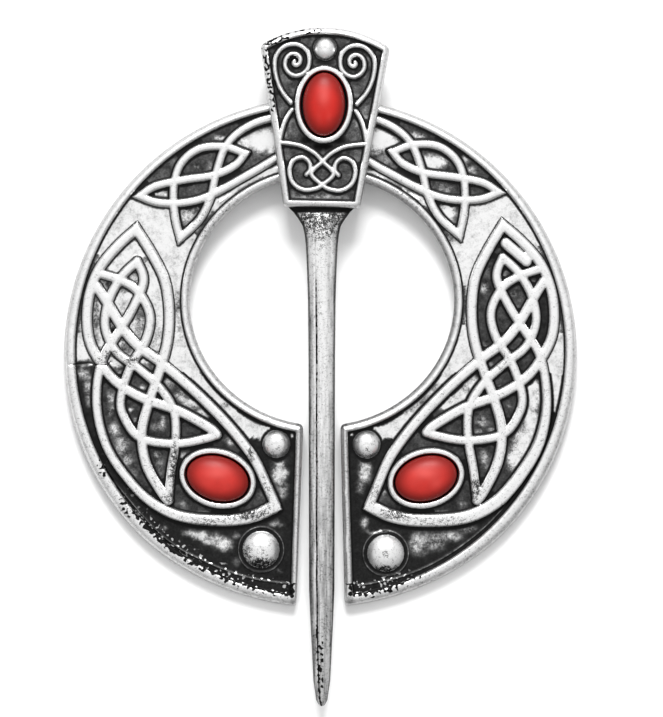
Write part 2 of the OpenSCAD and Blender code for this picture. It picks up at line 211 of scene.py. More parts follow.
# The right wing's tarnish, in the same columns
RIGHT_TONE: Table = (
    (21.5, 11.2, 1.2, 1.2, 0.1), (20.1, 9.3, 0.4, 0.4, 0.65), (19.9, 8.5, 0.4, 0.4, 0.4),
    (23.1, 7.7, 0.4, 0.4, 0.45), (17.8, 7.4, 0.5, 0.6, 0.42), (17.9, 9.6, 0.6, 1.4, 0.62),
    (17.7, 0.9, 0.7, 0.6, 0.5), (20.9, 6.8, 0.35, 0.35, 0.4), (21.6, 5, 0.6, 0.6, 0.62),
    (24.2, 4, 0.6, 3.6, 0.84), (20.7, 0.6, 0.5, 0.3, 0.55), (18.3, -1, 0.6, 0.25, 0.45),
    (19.4, -3.6, 0.6, 0.25, 0.35), (20.5, -7.2, 0.4, 0.4, 0.4), (20.6, -5.7, 0.25, 0.3, 0.5),
    (17.6, -4.3, 0.5, 0.5, 0.6), (17.5, -7.1, 0.6, 0.7, 0.45), (17.2, -8.3, 0.5, 0.25, 0.45),
    (18.6, -8.2, 0.4, 0.25, 0.45), (17.8, -11, 0.5, 0.6, 0.45), (17.9, -12.1, 0.3, 0.4, 0.55),
    (23, -4.2, 0.9, 1.9, 0.1), (22.9, -7.2, 1, 1.8, 0.1), (22.1, -9.4, 1.1, 1.5, 0.1),
    (21.2, -11.3, 0.9, 1.3, 0.15), (16.3, -3, 0.9, 0.8, 0.2), (15, -4.3, 1.3, 1, 0.12),
    (13.7, -5.4, 1.1, 0.6, 0.16), (11.4, -4.1, 1.6, 1.4, 0.4), (9.6, -5.9, 0.6, 0.5, 0.35),
    (4.7, -12.6, 0.7, 1.2, 0.2), (4.3, -14.4, 0.4, 0.8, 0.5), (4.6, -18.3, 0.5, 0.7, 0.45),
    (10.6, -20.6, 1, 1.3, 0.42), (12.2, -20.3, 1.3, 1, 0.38), (14.2, -19.7, 1.3, 0.6, 0.4),
    (16, -18.9, 1, 0.45, 0.42), (15.2, -16.3, 0.5, 0.3, 0.5), (13, -17.2, 1.3, 0.2, 0.45),
    (6.8, -14.5, 0.35, 0.9, 0.5), (8.3, -11.4, 0.4, 0.4, 0.3), (6.2, -19.3, 1.4, 0.2, 0.5),
    (12.3, 21.2, 1.5, 0.9, 0.04), (13.5, 18.3, 0.9, 0.5, 0.42), (13.7, 15.7, 0.8, 1, 0.05),
    (16.4, 20.4, 0.5, 0.35, 0.05), (15.6, 21.4, 0.4, 0.5, 0.4), (10.4, 24.1, 0.8, 0.3, 0.2),
    (6.4, 23.7, 2.1, 1.4, 0.02), (7.3, 21.2, 1.5, 1, 0.58), (9, 18.3, 3, 1.2, 0.4),
    (11, 16.9, 1, 0.8, 0.12), (6, 20.6, 1.2, 0.3, 0.9), (14, 13, 0.8, 0.5, 0.5),
)

# Where the raised metal is more pitted, with a share in the last column
HOOP_PITS: Table = (
    (-23.6, -0.2, 1, 0.9, 0.75), (-20.8, -0.5, 0.8, 0.8, 0.7), (-22, 0.2, 1.4, 0.5, 0.45),
    (-16.2, -12.2, 0.5, 2.8, 0.85), (-16.7, -15.6, 0.7, 0.8, 0.7), (-8.5, -17.2, 3, 0.8, 0.9),
    (-6.3, -15.5, 0.8, 2, 0.6), (-13, -18.2, 3, 0.8, 0.6), (-17.5, -8.9, 2, 0.5, 0.6),
    (-7.8, -10.8, 0.5, 0.7, 0.8), (16.9, -14.6, 0.6, 1.4, 0.8), (8.5, -17.2, 2.4, 0.7, 0.85),
    (5.8, -15, 0.7, 1.4, 0.6), (13, -18, 4, 0.7, 0.55), (19.5, -0.5, 1.4, 1.2, 0.5),
    (-10.5, 14.5, 4, 3, 0.5), (8, 16.5, 3, 2.5, 0.5), (-6.6, -22.9, 1.9, 0.9, 1),
    (-8.3, -21.6, 0.6, 1, 0.8), (-6.5, -21.5, 0.4, 0.3, 0.6), (7, -23.4, 1.8, 0.5, 0.95),
    (7.02, -21.6, 0.4, 0.4, 0.7), (-5, -10.9, 1.3, 0.4, 0.6), (4.9, -10.9, 1.3, 0.4, 0.6),
    (-4.8, -10.1, 0.5, 0.3, 0.5), (4.9, -10.2, 0.3, 0.4, 0.6), (-8.9, 25.5, 0.4, 0.4, 0.8),
)

# A crack across the left wing, in columns x and y
CRACK: Table = (
    (-27.7, -0.95), (-26.6, -0.9), (-25.5, -0.8), (-24.8, -0.95), (-24.1, -1.05), (-23.5, -1),
    (-23.1, -0.55),
)

# Where the bright face has flaked off, with a share in the last column
HOOP_FLAKES: Table = (
    (-24, -12.2, 0.6, 1.6, 0.4), (-21.2, -16, 1, 1.6, 0.6), (5.2, -26, 1.6, 0.35, 0.45),
    (7.6, -25.5, 2.2, 0.4, 0.36),
)

# Painted highlights and paler clouds in the stones from their middles: x, y, reach along x and
# y, and share. The first row of each table, above the middle, is the painted highlight.
HEAD_HIGHLIGHT_AND_CLOUDS: Table = (
    (0, 0.8, 0.6, 0.95, 0.68), (-0.55, -1.5, 0.35, 0.8, 0.12), (0.55, -1.5, 0.35, 0.8, 0.16),
)
LEFT_HIGHLIGHT_AND_CLOUDS: Table = (
    (-0.1, 0.6, 1.25, 0.6, 0.66), (-1.2, -0.5, 1, 0.6, 0.12), (1, -0.6, 0.8, 0.6, 0.1),
)
RIGHT_HIGHLIGHT_AND_CLOUDS: Table = (
    (-0.1, 0.6, 1.25, 0.6, 0.7), (-1.3, -0.4, 0.8, 0.5, 0.12), (1.1, -0.5, 0.7, 0.6, 0.28),
)


class Look(Enum):
    """The finishes of the brooch's pieces, by the record's slot."""

    METAL = "antiqued_metal"
    STONE = "red_stone"


class Finish(NamedTuple):
    """What a finish reads at a point of a mesh.

    Attributes:
        edge: The distance from raised metal, below 0 on it, or in from a stone's edge, in mm.
        tone: The ground's darkness, the pitting of raised metal, and on a stone the share of its
        painted highlight and paler clouds.
        film: The thin grey on raised metal and walls: dulling in places, mostly painted shade on
        rounded edges and sloping sides.
        flake: How far the bright face is torn away.
        groove: The depth of the black line beside raised metal.
    """

    edge: float
    tone: float
    film: float = 0.0
    flake: float = 0.0
    groove: float = 0.0


def finish_rows(count: int, *columns: Array | float) -> Array:
    """Lays out the finish of a run of points.

    Args:
        count: The number of points.
        columns: The values of Finish in its order, each one for all points or one a point.

    Returns:
        One row a point.
    """
    return np.column_stack([np.broadcast_to(column, count) for column in columns])


@dataclass(frozen=True)
class Placement:
    """Carries points of the brooch's own frame to the row frame, where the brooch lies tipped."""

    tilt: float
    shift: Triple

    @classmethod
    def of_hinge(cls, joint: dict) -> "Placement":
        """Reads the tilt and the place of the hoop's centre from the pin's hinge.

        Args:
            joint: The hinge, as the frame gives it.

        Returns:
            The placement that puts the hoop's axis on the hinge's.
        """
        axis = joint["axis"]
        return cls(math.atan2(-axis[1], axis[2]), tuple(joint["pos_m"]))

    def to_row(self, points: Array) -> Array:
        """Carries points, in mm, to the row frame.

        Args:
            points: Rows of x, y and z in the brooch's own frame.

        Returns:
            The same rows in the row frame, in metres.
        """
        x, y, z = points.T * MM
        cos, sin = math.cos(self.tilt), math.sin(self.tilt)
        tipped = np.stack([x, y * cos - z * sin, y * sin + z * cos], axis=1)
        return tipped + np.array(self.shift)


def curved(before: Array, start: Array, end: Array, after: Array, spans: int) -> Array:
    """Runs a smooth curve from each start to its end, guided by the rows beside them.

    Args:
        before: The row ahead of each start.
        start: The rows where the curves start.
        end: The rows where they end.
        after: The row past each end.
        spans: Straight lengths in each curve.

    Returns:
        The points of all curves in turn, without their ends.
    """
    a, b, c, d = (rows[:, None] for rows in (before, start, end, after))
    t = (np.arange(spans) / spans)[None, :, None]
    line = b + ((c - a) * t + (2 * a - 5 * b + 4 * c - d) * t**2 + (3 * b - 3 * c + d - a) * t**3) / 2
    return line.reshape(-1, start.shape[1])


def smooth_line(rows: Table | Array, spans: int = 6) -> Array:
    """Runs a smooth curve through the rows of a table.

    Args:
        rows: Points with columns x and y.
        spans: Straight lengths between two rows.

    Returns:
        The curve's points.
    """
    p = np.array(rows, float)
    at = np.arange(len(p) - 1)
    before, after = p[np.maximum(at - 1, 0)], p[np.minimum(at + 2, len(p) - 1)]
    return np.concatenate([curved(before, p[:-1], p[1:], after, spans), p[-1:]])


def spaced(line: Array, step: float) -> Array:
    """Puts points along a line at even steps.

    Args:
        line: The line's points.
        step: The distance between two new points.

    Returns:
        The new points, both ends among them.
    """
    run = np.concatenate([[0], np.cumsum(np.linalg.norm(np.diff(line, axis=0), axis=1))])
    at = np.linspace(0, run[-1], max(2, round(run[-1] / step) + 1))
    return np.stack([np.interp(at, run, line[:, i]) for i in range(2)], axis=1)


def leftward(line: Array) -> Array:
    """Gives the unit direction to the left of a line at each of its points.

    Args:
        line: The line's points, as rows of x and y.

    Returns:
        One direction a point.
    """
    ahead = np.gradient(line, axis=0)
    side = np.stack([-ahead[:, 1], ahead[:, 0]], axis=1)
    return side / np.linalg.norm(side, axis=1)[:, None]


def outward(outline: Array) -> Array:
    """Gives the unit direction out of an anticlockwise closed outline at each of its points."""
    return -leftward(np.concatenate([outline[-1:], outline, outline[:1]]))[1:-1]


def turned(points: Array, degrees: float) -> Array:
    """Turns points round the origin, anticlockwise from above."""
    cos, sin = math.cos(math.radians(degrees)), math.sin(math.radians(degrees))
    return points @ np.array([[cos, sin], [-sin, cos]])


def mirrored(rows: Table) -> Table:
    """Gives a table with its x column turned over."""
    return tuple((-row[0], *row[1:]) for row in rows)


def oval_distance(points: Array, wide: float, high: float) -> Array:
    """Measures how far points lie outside an oval round the origin.

    Args:
        points: Rows of x and y.
        wide: The oval's half width along x.
        high: The oval's half height along y.

    Returns:
        The distance of each point, below 0 inside the oval.
    """
    share = np.hypot(points[:, 0] / wide, points[:, 1] / high)
    slope = np.hypot(points[:, 0] / wide**2, points[:, 1] / high**2)
    return share * (share - 1) / np.maximum(slope, 1e-9)


def rounded_drop(depth: Array, reach: float, fall: float) -> Array:
    """Gives how far a rounded edge falls below its plate.

    Args:
        depth: Each point's distance in from the edge.
        reach: How far in the rounding goes.
        fall: How far it falls at the edge itself.

    Returns:
        The fall at each point.
    """
    share = np.clip(1 - depth / reach, 0, 1)
    return fall * (1 - np.sqrt(1 - share**2))


def eased(value: Array | float, low: float, high: float) -> Array | float:
    """Rises smoothly from 0 at low to 1 at high, or falls where low is the greater."""
    t = np.clip((value - low) / (high - low), 0, 1)
    return t * t * (3 - 2 * t)


def still(points: Array) -> Array:
    """Leaves points where they are."""
    return points


def footward(y: Array) -> Array:
    """Gives how far a place along Y is into the hoop's flattened foot, from 0 to 1."""
    return eased(y, -19, -27.5)


@dataclass(frozen=True)
class Grain:
    """Smooth random unevenness over a plan, by its bumps' size and height in mm."""

    size: float
    seed: int
    height: float = 1.0
    cells: int = 128

    def at(self, points: Array) -> Array:
        """Gives the unevenness at each point of a plan.

        Args:
            points: Rows of x and y.

        Returns:
            A value between the height below 0 and the height above it at each point.
        """
        lattice = np.random.default_rng(self.seed).uniform(-1, 1, (self.cells, self.cells))
        scaled = points / self.size
        low = np.floor(scaled).astype(int)
        t = eased(scaled - low, 0, 1)
        i, j = low[:, 0] % self.cells, low[:, 1] % self.cells
        i2, j2 = (i + 1) % self.cells, (j + 1) % self.cells
        near = lattice[i, j] * (1 - t[:, 0]) + lattice[i2, j] * t[:, 0]
        far = lattice[i, j2] * (1 - t[:, 0]) + lattice[i2, j2] * t[:, 0]
        return self.height * (near * (1 - t[:, 1]) + far * t[:, 1])


@dataclass(frozen=True)
class Spots:
    """Flat oval spots that lay their own value over others', with ragged edges."""

    rows: Table
    drift: tuple[Grain, Grain] = (Grain(0.4, 41, 0.13), Grain(0.4, 42, 0.13))

    def over(self, points: Array, value: Array) -> Array:
        """Lays the spots over a value at each point.

        Args:
            points: Rows of x and y.
            value: The value at each point without the spots.

        Returns:
            The value with the spots on it.
        """
        moved = points + np.stack([grain.at(points) for grain in self.drift], axis=1)
        for x, y, wide, high, own in self.rows:
            away = ((moved[:, 0] - x) / wide) ** 2 + ((moved[:, 1] - y) / high) ** 2
            value = value + (own - value) * np.exp(-(away**2))
        return value


@dataclass(frozen=True)
class Profile:
    """How a raised feature stands over the ground, by its edge's distance."""

    height: float
    crown: float = 0.11
    foot: float = 0.04
    shoulder: float = 0.09
    crown_reach: float = 0.45

    def lift(self, reach: Array) -> Array:
        """Gives how high the feature stands.

        Args:
            reach: Distances from the feature's edge, below 0 inside it.

        Returns:
            The height over the ground at each distance.
        """
        side = eased(-reach, -self.foot, self.shoulder)
        inward = np.clip(-reach / self.crown_reach, 0, 1)
        return (self.height - self.crown) * side + self.crown * (1 - (1 - inward) ** 2)

    def levels(self) -> Levels:
        """Gives the distances from the edge at which the mesh needs points."""
        inner = -self.shoulder - (self.crown_reach - self.shoulder) / 2
        return (0.42, self.foot + 0.12, self.foot, -self.shoulder, inner)


@dataclass(frozen=True)
class Dome(Profile):
    """A round boss with a small dimple at its crown."""

    radius: float = 1.0
    dimple: float = 0.08

    def lift(self, reach: Array) -> Array:
        """Gives how high the dome stands.

        Args:
            reach: Distances from the dome's edge, below 0 inside it.

        Returns:
            The height over the ground at each distance.
        """
        ball = (self.radius**2 + self.height**2) / (2 * self.height)
        away = np.clip(reach + self.radius, 0, self.radius)
        hollow = self.dimple * np.exp(-((away / (0.16 * self.radius)) ** 2))
        return np.where(reach < 0, np.sqrt(ball**2 - away**2) - (ball - self.height) - hollow, 0)

    def levels(self) -> Levels:
        """Gives rings from the foot up to the crown."""
        return (0.16, 0.02, *(-self.radius * share for share in np.linspace(0.06, 0.95, 9)))


class Shape:
    """A form on a plate's plan."""

    def reach(self, points: Array) -> Array:
        """Gives the distance of each point from the form's edge, below 0 inside it."""
        raise NotImplementedError

    def contours(self, levels: Levels, step: float) -> Array:
        """Gives points at even steps at each distance from the form's edge."""
        raise NotImplementedError


@dataclass(frozen=True)
class Strand(Shape):
    """A raised strand along a table's curve."""

    rows: Table | Array
    width: float
    end_width: float = 0
    swell: Pair = (0.6, 1.0)

    def half(self, share: Array | float) -> Array | float:
        """Gives half the strand's width.

        Args:
            share: How far along the strand, from 0 to 1.

        Returns:
            Half the width there.
        """
        last = self.end_width or self.width
        late = np.clip((share - self.swell[0]) / (self.swell[1] - self.swell[0]), 0, 1)
        return (self.width + (last - self.width) * late) / 2

    def reach(self, points: Array) -> Array:
        """Measures how far points lie from the strand's edge.

        Args:
            points: Rows of x and y.

        Returns:
            The distance of each point, below 0 inside the strand.
        """
        line = smooth_line(self.rows)
        far = 1.6 + self.width
        found = np.full(len(points), far)
        near = np.flatnonzero(((points > line.min(0) - far) & (points < line.max(0) + far)).all(1))
        sub = points[near]
        best, share = np.full(len(sub), far**2), np.zeros(len(sub))
        for i, (start, end) in enumerate(zip(line[:-1], line[1:])):
            way = end - start
            close = np.flatnonzero((np.abs(sub - (start + end) / 2) < far).all(1))
            off = sub[close] - start
            t = np.clip(off @ way / (way @ way), 0, 1)
            square = ((off - t[:, None] * way) ** 2).sum(1)
            better = square < best[close]
            best[close[better]] = square[better]
            share[close[better]] = (i + t[better]) / (len(line) - 1)
        found[near] = np.sqrt(best)
        half = np.full(len(points), self.width / 2)
        half[near] = self.half(share)
        return found - half

    def end(self, share: int) -> tuple[Array, Array, float]:
        """Gives the strand's end, its way out there and its half width.

        Args:
            share: 0 for the first row's end and 1 for the last row's.

        Returns:
            The middle of the end, the unit direction out of it, and half the width there.
        """
        line = smooth_line(self.rows)[:: 1 if share else -1]
        way = line[-1] - line[-2]
        return line[-1], way / np.linalg.norm(way), self.half(float(share))

    def away(self, point: Array) -> float:
        """Gives how far a point lies from the strand's nearer end."""
        return min(np.linalg.norm(self.end(n)[0] - point) for n in (0, 1))

    def contours(self, levels: Levels, step: float) -> Array:
        """Gives points along the strand's edge and its middle.

        Args:
            levels: The distances from the edge.
            step: The distance between two points.

        Returns:
            Rows of x and y.
        """
        line = spaced(smooth_line(self.rows), step)
        side = leftward(line)
        half = self.half(np.linspace(0, 1, len(line)))
        found = [line]
        for level in levels:
            out = half + level
            kept = out > 0.06
            for way in (1, -1):
                found.append((line + way * side * out[:, None])[kept])
            for end, ahead in ((0, 1), (-1, -1)):
                if out[end] > 0.06:
                    back = -ahead * np.array([side[end][1], -side[end][0]])
                    for a in np.linspace(-75, 75, max(3, round(3 * out[end] / step))):
                        found.append(line[end] + turned(back[None], a) * out[end])
        return np.concatenate([f.reshape(-1, 2) for f in found])


@dataclass(frozen=True)
class OvalBand(Shape):
    """A raised band between two distances from an oval, or a disc, rim or ring."""

    at: Pair
    semi: Pair
    inner: float = -NO_LIMIT
    outer: float = NO_LIMIT
    turn: float = 0

    def reach(self, points: Array) -> Array:
        """Measures the distance of each point from the band's edge, below 0 inside it."""
        away = oval_distance(turned(points - np.array(self.at), -self.turn), *self.semi)
        return np.maximum(away - self.outer, self.inner - away)

    def contours(self, levels: Levels, step: float) -> Array:
        """Gives points round the band's edges.

        Args:
            levels: The distances from the edges.
            step: The distance between two points.

        Returns:
            Rows of x and y.
        """
        found = []
        for level in levels:
            for away in (self.outer + level, self.inner - level):
                wide, high = self.semi[0] + away, self.semi[1] + away
                if abs(away) > NO_LIMIT - 2 or min(wide, high) < 0.04:
                    continue
                count = max(8, round(math.tau * max(wide, high) / step))
                a = np.radians(np.linspace(0, 360, count, endpoint=False))
                ring = np.stack([wide * np.cos(a), high * np.sin(a)], axis=1)
                found.append(turned(ring, self.turn) + np.array(self.at))
        return np.concatenate(found) if found else np.zeros((0, 2))


@dataclass(frozen=True)
class Panel(Shape):
    """An area inside a closed outline."""

    rows: Table | Array

    def reach(self, points: Array) -> Array:
        """Measures how far points lie from the outline.

        Args:
            points: Rows of x and y.

        Returns:
            The distance of each point, below 0 inside the outline.
        """
        corners = np.array(self.rows, float)
        best = np.full(len(points), np.inf)
        within = np.zeros(len(points), bool)
        for start, end in zip(corners, np.roll(corners, -1, axis=0)):
            way = end - start
            off = points - start
            t = np.clip(off @ way / (way @ way), 0, 1)
            best = np.minimum(best, ((off - t[:, None] * way) ** 2).sum(1))
            crosses = (start[1] > points[:, 1]) != (end[1] > points[:, 1])
            rise = way[1] if abs(way[1]) > 1e-12 else 1e-12
            within ^= crosses & (off[:, 0] < way[0] * off[:, 1] / rise)
        return np.where(within, -1, 1) * np.sqrt(best)

    def contours(self, levels: Levels, step: float) -> Array:
        """Gives points along the outline, on both sides of it.

        Args:
            levels: The distances from the outline.
            step: The distance between two points.

        Returns:
            Rows of x and y.
        """
        corners = np.array(self.rows, float)
        line = spaced(np.concatenate([corners, corners[:1]]), step)
        side = leftward(line)
        return np.concatenate([line + way * side * level for level in levels for way in (1, -1)])


def mitre(one: Strand, other: Strand, limit: float = 1.6) -> Panel:
    """Draws the pointed tip where two strands end together.

    Args:
        one: A strand that ends at the tip.
        other: The strand that ends there with it.
        limit: How far the tip may stand out past the strands' common end.

    Returns:
        A panel from the strands' outer edges to their meeting point.
    """
    at, way, half = min((one.end(n) for n in (0, 1)), key=lambda end: other.away(end[0]))
    ends = [other.end(n) for n in (0, 1)]
    at_2, way_2, half_2 = min(ends, key=lambda end: np.linalg.norm(end[0] - at))
    side, side_2 = np.array([-way[1], way[0]]), np.array([-way_2[1], way_2[0]])
    side = side * np.sign(side @ way_2) * half
    side_2 = side_2 * np.sign(side_2 @ way) * half_2 + at_2 - at
    tip = side + way * np.linalg.solve(np.column_stack([way, -way_2]), side_2 - side)[0]
    tip = tip * min(1, limit / np.linalg.norm(tip))
    back = -(way + way_2) * half / 4
    return Panel(at + np.array([back, side, tip, side_2]))


@dataclass(frozen=True)
class Border(Shape):
    """The raised border inside a plate's outline."""

    outline: Array
    width: float

    def reach(self, points: Array) -> Array:
        """Measures the distance of each point from the border's inner edge."""
        return -Panel(self.outline).reach(points) - self.width

    def contours(self, levels: Levels, step: float) -> Array:
        """Gives points along the border at each distance from its inner edge."""
        return Panel(self.outline).contours(tuple(self.width + level for level in levels), step)


@dataclass(frozen=True)
class GapRim(Shape):
    """The two straight rims along the hoop's gap."""

    half_gap: Move
    width: float
    top: float = -5.0
    foot: float = -28.0

    def reach(self, points: Array) -> Array:
        """Measures the distance of each point from the rims' inner edges."""
        away = np.abs(points[:, 0]) - self.half_gap(points[:, 1]) - self.width
        return np.maximum(away, points[:, 1] - self.top)

    def contours(self, levels: Levels, step: float) -> Array:
        """Gives points along both rims' inner edges.

        Args:
            levels: The distances from the edges.
            step: The distance between two points.

        Returns:
            Rows of x and y.
        """
        y = np.arange(self.foot, self.top, step)
        found = []
        for level in levels:
            x = self.half_gap(y) + self.width + level
            found += [np.stack([x, y], axis=1), np.stack([-x, y], axis=1)]
        return np.concatenate(found)


@dataclass(frozen=True)
class Raised:
    """One raised feature of a plate.

    Attributes:
        shape: Its form on the plan.
        profile: How it stands up. Without one it fuses with the cast relief.
        inked: Whether the ground darkens beside it.
    """

    shape: Shape
    profile: Profile | None = None
    inked: bool = True


@dataclass
class Relief:
    """All that is raised on a plate."""

    features: list[Raised]
    seats: list[OvalBand] = field(default_factory=list)
    cracks: list[Strand] = field(default_factory=list)
    cast: Profile = Profile(0.7)
    seat_depth: float = 0.5
    crack_depth: float = 0.16
    hollow_edge: float = 0.05
    fillet: float = 0.08

    def measure(self, points: Array) -> tuple[Array, Array]:
        """Measures the relief at points of the plan.

        Args:
            points: Rows of x and y.

        Returns:
            The height over the ground, and the distance from the nearest raised edge, below 0
            on raised metal.
        """
        fused = np.full(len(points), NO_LIMIT)
        edge = np.full(len(points), NO_LIMIT)
        lift = np.zeros(len(points))
        for raised in self.features:
            reach = raised.shape.reach(points)
            if raised.inked:
                edge = np.minimum(edge, reach)
            if raised.profile:
                lift = np.maximum(lift, raised.profile.lift(reach))
            else:
                blend = np.maximum(self.fillet - np.abs(fused - reach), 0) / self.fillet
                fused = np.minimum(fused, reach) - blend**2 * self.fillet / 4
        lift = np.maximum(lift, self.cast.lift(fused))
        edge = np.minimum(edge, fused)
        for seat in self.seats:
            reach = seat.reach(points)
            lift = np.where(reach < 0, np.minimum(lift, -self.seat_depth), lift)
            edge = np.where(reach < 0, self.hollow_edge, edge)
        for crack in self.cracks:
            reach = crack.reach(points)
            lift = lift - self.crack_depth * eased(reach, 0.02, -0.04)
            edge = np.where(reach < 0, self.hollow_edge, edge)
        return lift, edge

    def mesh_points(self, step: float) -> Array:
        """Gives the points that the mesh needs along the relief's edges.

        Args:
            step: The distance between two points along an edge.

        Returns:
            Points that lie on their own feature's contours, clear of stronger features.
        """
        kept = []
        for own in self.features:
            points = own.shape.contours((own.profile or self.cast).levels(), step)
            mine = own.shape.reach(points)
            best = np.full(len(points), NO_LIMIT)
            for other in self.features:
                if other is not own:
                    best = np.minimum(best, other.shape.reach(points))
            kept.append(points[mine < best + 0.03])
        for seat in self.seats:
            kept.append(seat.contours((-0.02, 0.03), step))
        for crack in self.cracks:
            kept.append(crack.contours((0.03, -0.03), step))
        return np.concatenate(kept)


def boss(x: float, y: float, radius: float, rise: float = 0.9) -> Raised:
    """Makes a round boss."""
    return Raised(OvalBand((x, y), (radius, radius), outer=0), Dome(rise, radius=radius))


def setting(at: Pair, semi: Pair, turn: float, bezel: float, profile: Profile) -> tuple[Raised, OvalBand]:
    """Makes a stone's bezel, and the seat inside it."""
    place = dict(at=at, semi=semi, turn=turn)
    return Raised(OvalBand(inner=0, outer=bezel, **place), profile), OvalBand(outer=-0.02, **place)


def thinned(points: Array, cell: float) -> Array:
    """Keeps one point in each cell of a square grid.

    Args:
        points: Rows of x and y.
        cell: The side of a cell.

    Returns:
        The first point of each cell, in their old order.
    """
    keys = np.floor(points / cell).astype(np.int64)
    _, first = np.unique(keys[:, 0] * 1_000_003 + keys[:, 1], return_index=True)
    return points[np.sort(first)]


def clear_of(points: Array, taken: Array, cell: float) -> Array:
    """Keeps the points that have no taken point in their own or a neighbouring cell.

    Args:
        points: Rows of x and y.
        taken: The points to keep clear of.
        cell: The side of a cell.

    Returns:
        The points that are kept.
    """
    low = np.minimum(points.min(0), taken.min(0)) - 2 * cell
    size = np.ceil((np.maximum(points.max(0), taken.max(0)) - low) / cell).astype(int) + 3
    full = np.zeros(size, bool)
    i, j = np.floor((taken - low) / cell).astype(int).T
    for across in (-1, 0, 1):
        for up in (-1, 0, 1):
            full[i + across, j + up] = True
    i, j = np.floor((points - low) / cell).astype(int).T
    return points[~full[i, j]]


def hex_grid(low: Array, high: Array, step: float) -> Array:
    """Fills a rectangle with points in staggered rows.

    Args:
        low: The rectangle's lower left corner.
        high: Its upper right corner.
        step: The distance between two points.

    Returns:
        Rows of x and y.
    """
    rows = []
    for n, y in enumerate(np.arange(low[1], high[1], step * ROW_SHARE)):
        x = np.arange(low[0] + (n % 2) * step / 2, high[0], step)
        rows.append(np.stack([x, np.full(len(x), y)], axis=1))
    return np.concatenate(rows)


def triangulated(outline: Array, inner: Array) -> tuple[Array, Array]:
    """Joins an outline and the points inside it into triangles.

    Args:
        outline: The closed outline, anticlockwise. Its points come first in the result.
        inner: Points inside it.

    Returns:
        All points, and the triangles' corners as rows of three indices.
    """
    points = np.concatenate([outline, inner])
    made = delaunay_2d_cdt(points.tolist(), [], [list(range(len(outline)))], 1, 1e-7)
    vertices = np.array([tuple(v) for v in made[0]])
    triangles = np.array(made[2])
    a, b, c = (vertices[triangles[:, n]] for n in range(3))
    ab, ac = b - a, c - a
    clockwise = ab[:, 0] * ac[:, 1] < ab[:, 1] * ac[:, 0]
    triangles[clockwise] = triangles[clockwise][:, ::-1]
    return vertices, triangles


def climb(plan: Array, triangles: Array, value: Array) -> Array:
    """Gives how fast a value rises along +Y at each point of a mesh.

    Args:
        plan: The mesh's points, as rows of x and y.
        triangles: Its triangles.
        value: The value at each point.

    Returns:
        The rise at each point, averaged over the triangles round it.
    """
    (x0, y0), (x1, y1), (x2, y2) = (plan[triangles[:, n]].T for n in range(3))
    v0, v1, v2 = (value[triangles[:, n]] for n in range(3))
    area = (x1 - x0) * (y2 - y0) - (x2 - x0) * (y1 - y0)
    rise = (v2 - v0) * (x1 - x0) - (v1 - v0) * (x2 - x0)
    total, weight = np.zeros(len(plan)), np.zeros(len(plan))
    for n in range(3):
        np.add.at(total, triangles[:, n], rise)
        np.add.at(weight, triangles[:, n], area)
    return total / np.maximum(weight, 1e-9)


@dataclass
class Surface:
    """A mesh in the making: its points, its triangles and what its finish reads."""

    points: list[Array] = field(default_factory=list)
    triangles: list[Array] = field(default_factory=list)
    finish: list[Array] = field(default_factory=list)
    count: int = 0

    def add(self, points: Array, finish: Array | Finish) -> int:
        """Adds points with their finish.

        Args:
            points: Rows of x, y and z.
            finish: One finish for all points, or one row a point.

        Returns:
            The first point's number in the mesh.
        """
        start = self.count
        self.points.append(points)
        rows = np.asarray(finish, float)
        self.finish.append(np.broadcast_to(rows, (len(points), len(Finish._fields))))
        self.count += len(points)
        return start

    def join(self, triangles: Array) -> None:
        """Adds triangles between points that are already there."""
        self.triangles.append(np.asarray(triangles).reshape(-1, 3))

    def skin(self, first: int, second: int, count: int) -> None:
        """Joins two closed runs of points by a strip of triangles.

        Args:
            first: The number of the first run's first point.
            second: The number of the second run's first point.
            count: The number of points in each run.
        """
        i = np.arange(count)
        j = (i + 1) % count
        self.join(np.stack([first + i, second + i, first + j], axis=1))
        self.join(np.stack([first + j, second + i, second + j], axis=1))

    def cap(self, middle: int, first: int, count: int, ahead: bool = False) -> None:
        """Closes a run of points with triangles round a point in its middle.

        Args:
            middle: The middle point's number.
            first: The number of the run's first point.
            count: The number of points in the run.
            ahead: Whether the run winds the other way, as seen from outside.
        """
        i = np.arange(count)
        one, next_one = first + i, first + (i + 1) % count
        if ahead:
            one, next_one = next_one, one
        self.join(np.stack([np.full(count, middle), one, next_one], axis=1))

    def made(self, name: str, placement: Placement) -> bpy.types.Object:
        """Makes the Blender object in the row frame.

        Args:
            name: The object's name.
            placement: Where the brooch's own frame lies.

        Returns:
            The new object, with its finish in attributes.
        """
        mesh = bpy.data.meshes.new(name)
        points = placement.to_row(np.concatenate(self.points))
        mesh.from_pydata(points.tolist(), [], np.concatenate(self.triangles).tolist())
        mesh.shade_smooth()
        finish = np.concatenate(self.finish).astype(np.float32)
        for n, key in enumerate(Finish._fields):
            layer = mesh.attributes.new(key, "FLOAT", "POINT")
            layer.data.foreach_set("value", np.ascontiguousarray(finish[:, n]))
        made = bpy.data.objects.new(name, mesh)
        bpy.context.scene.collection.objects.link(made)
        log.info("%s: %d triangles", name, len(mesh.polygons))
        return made


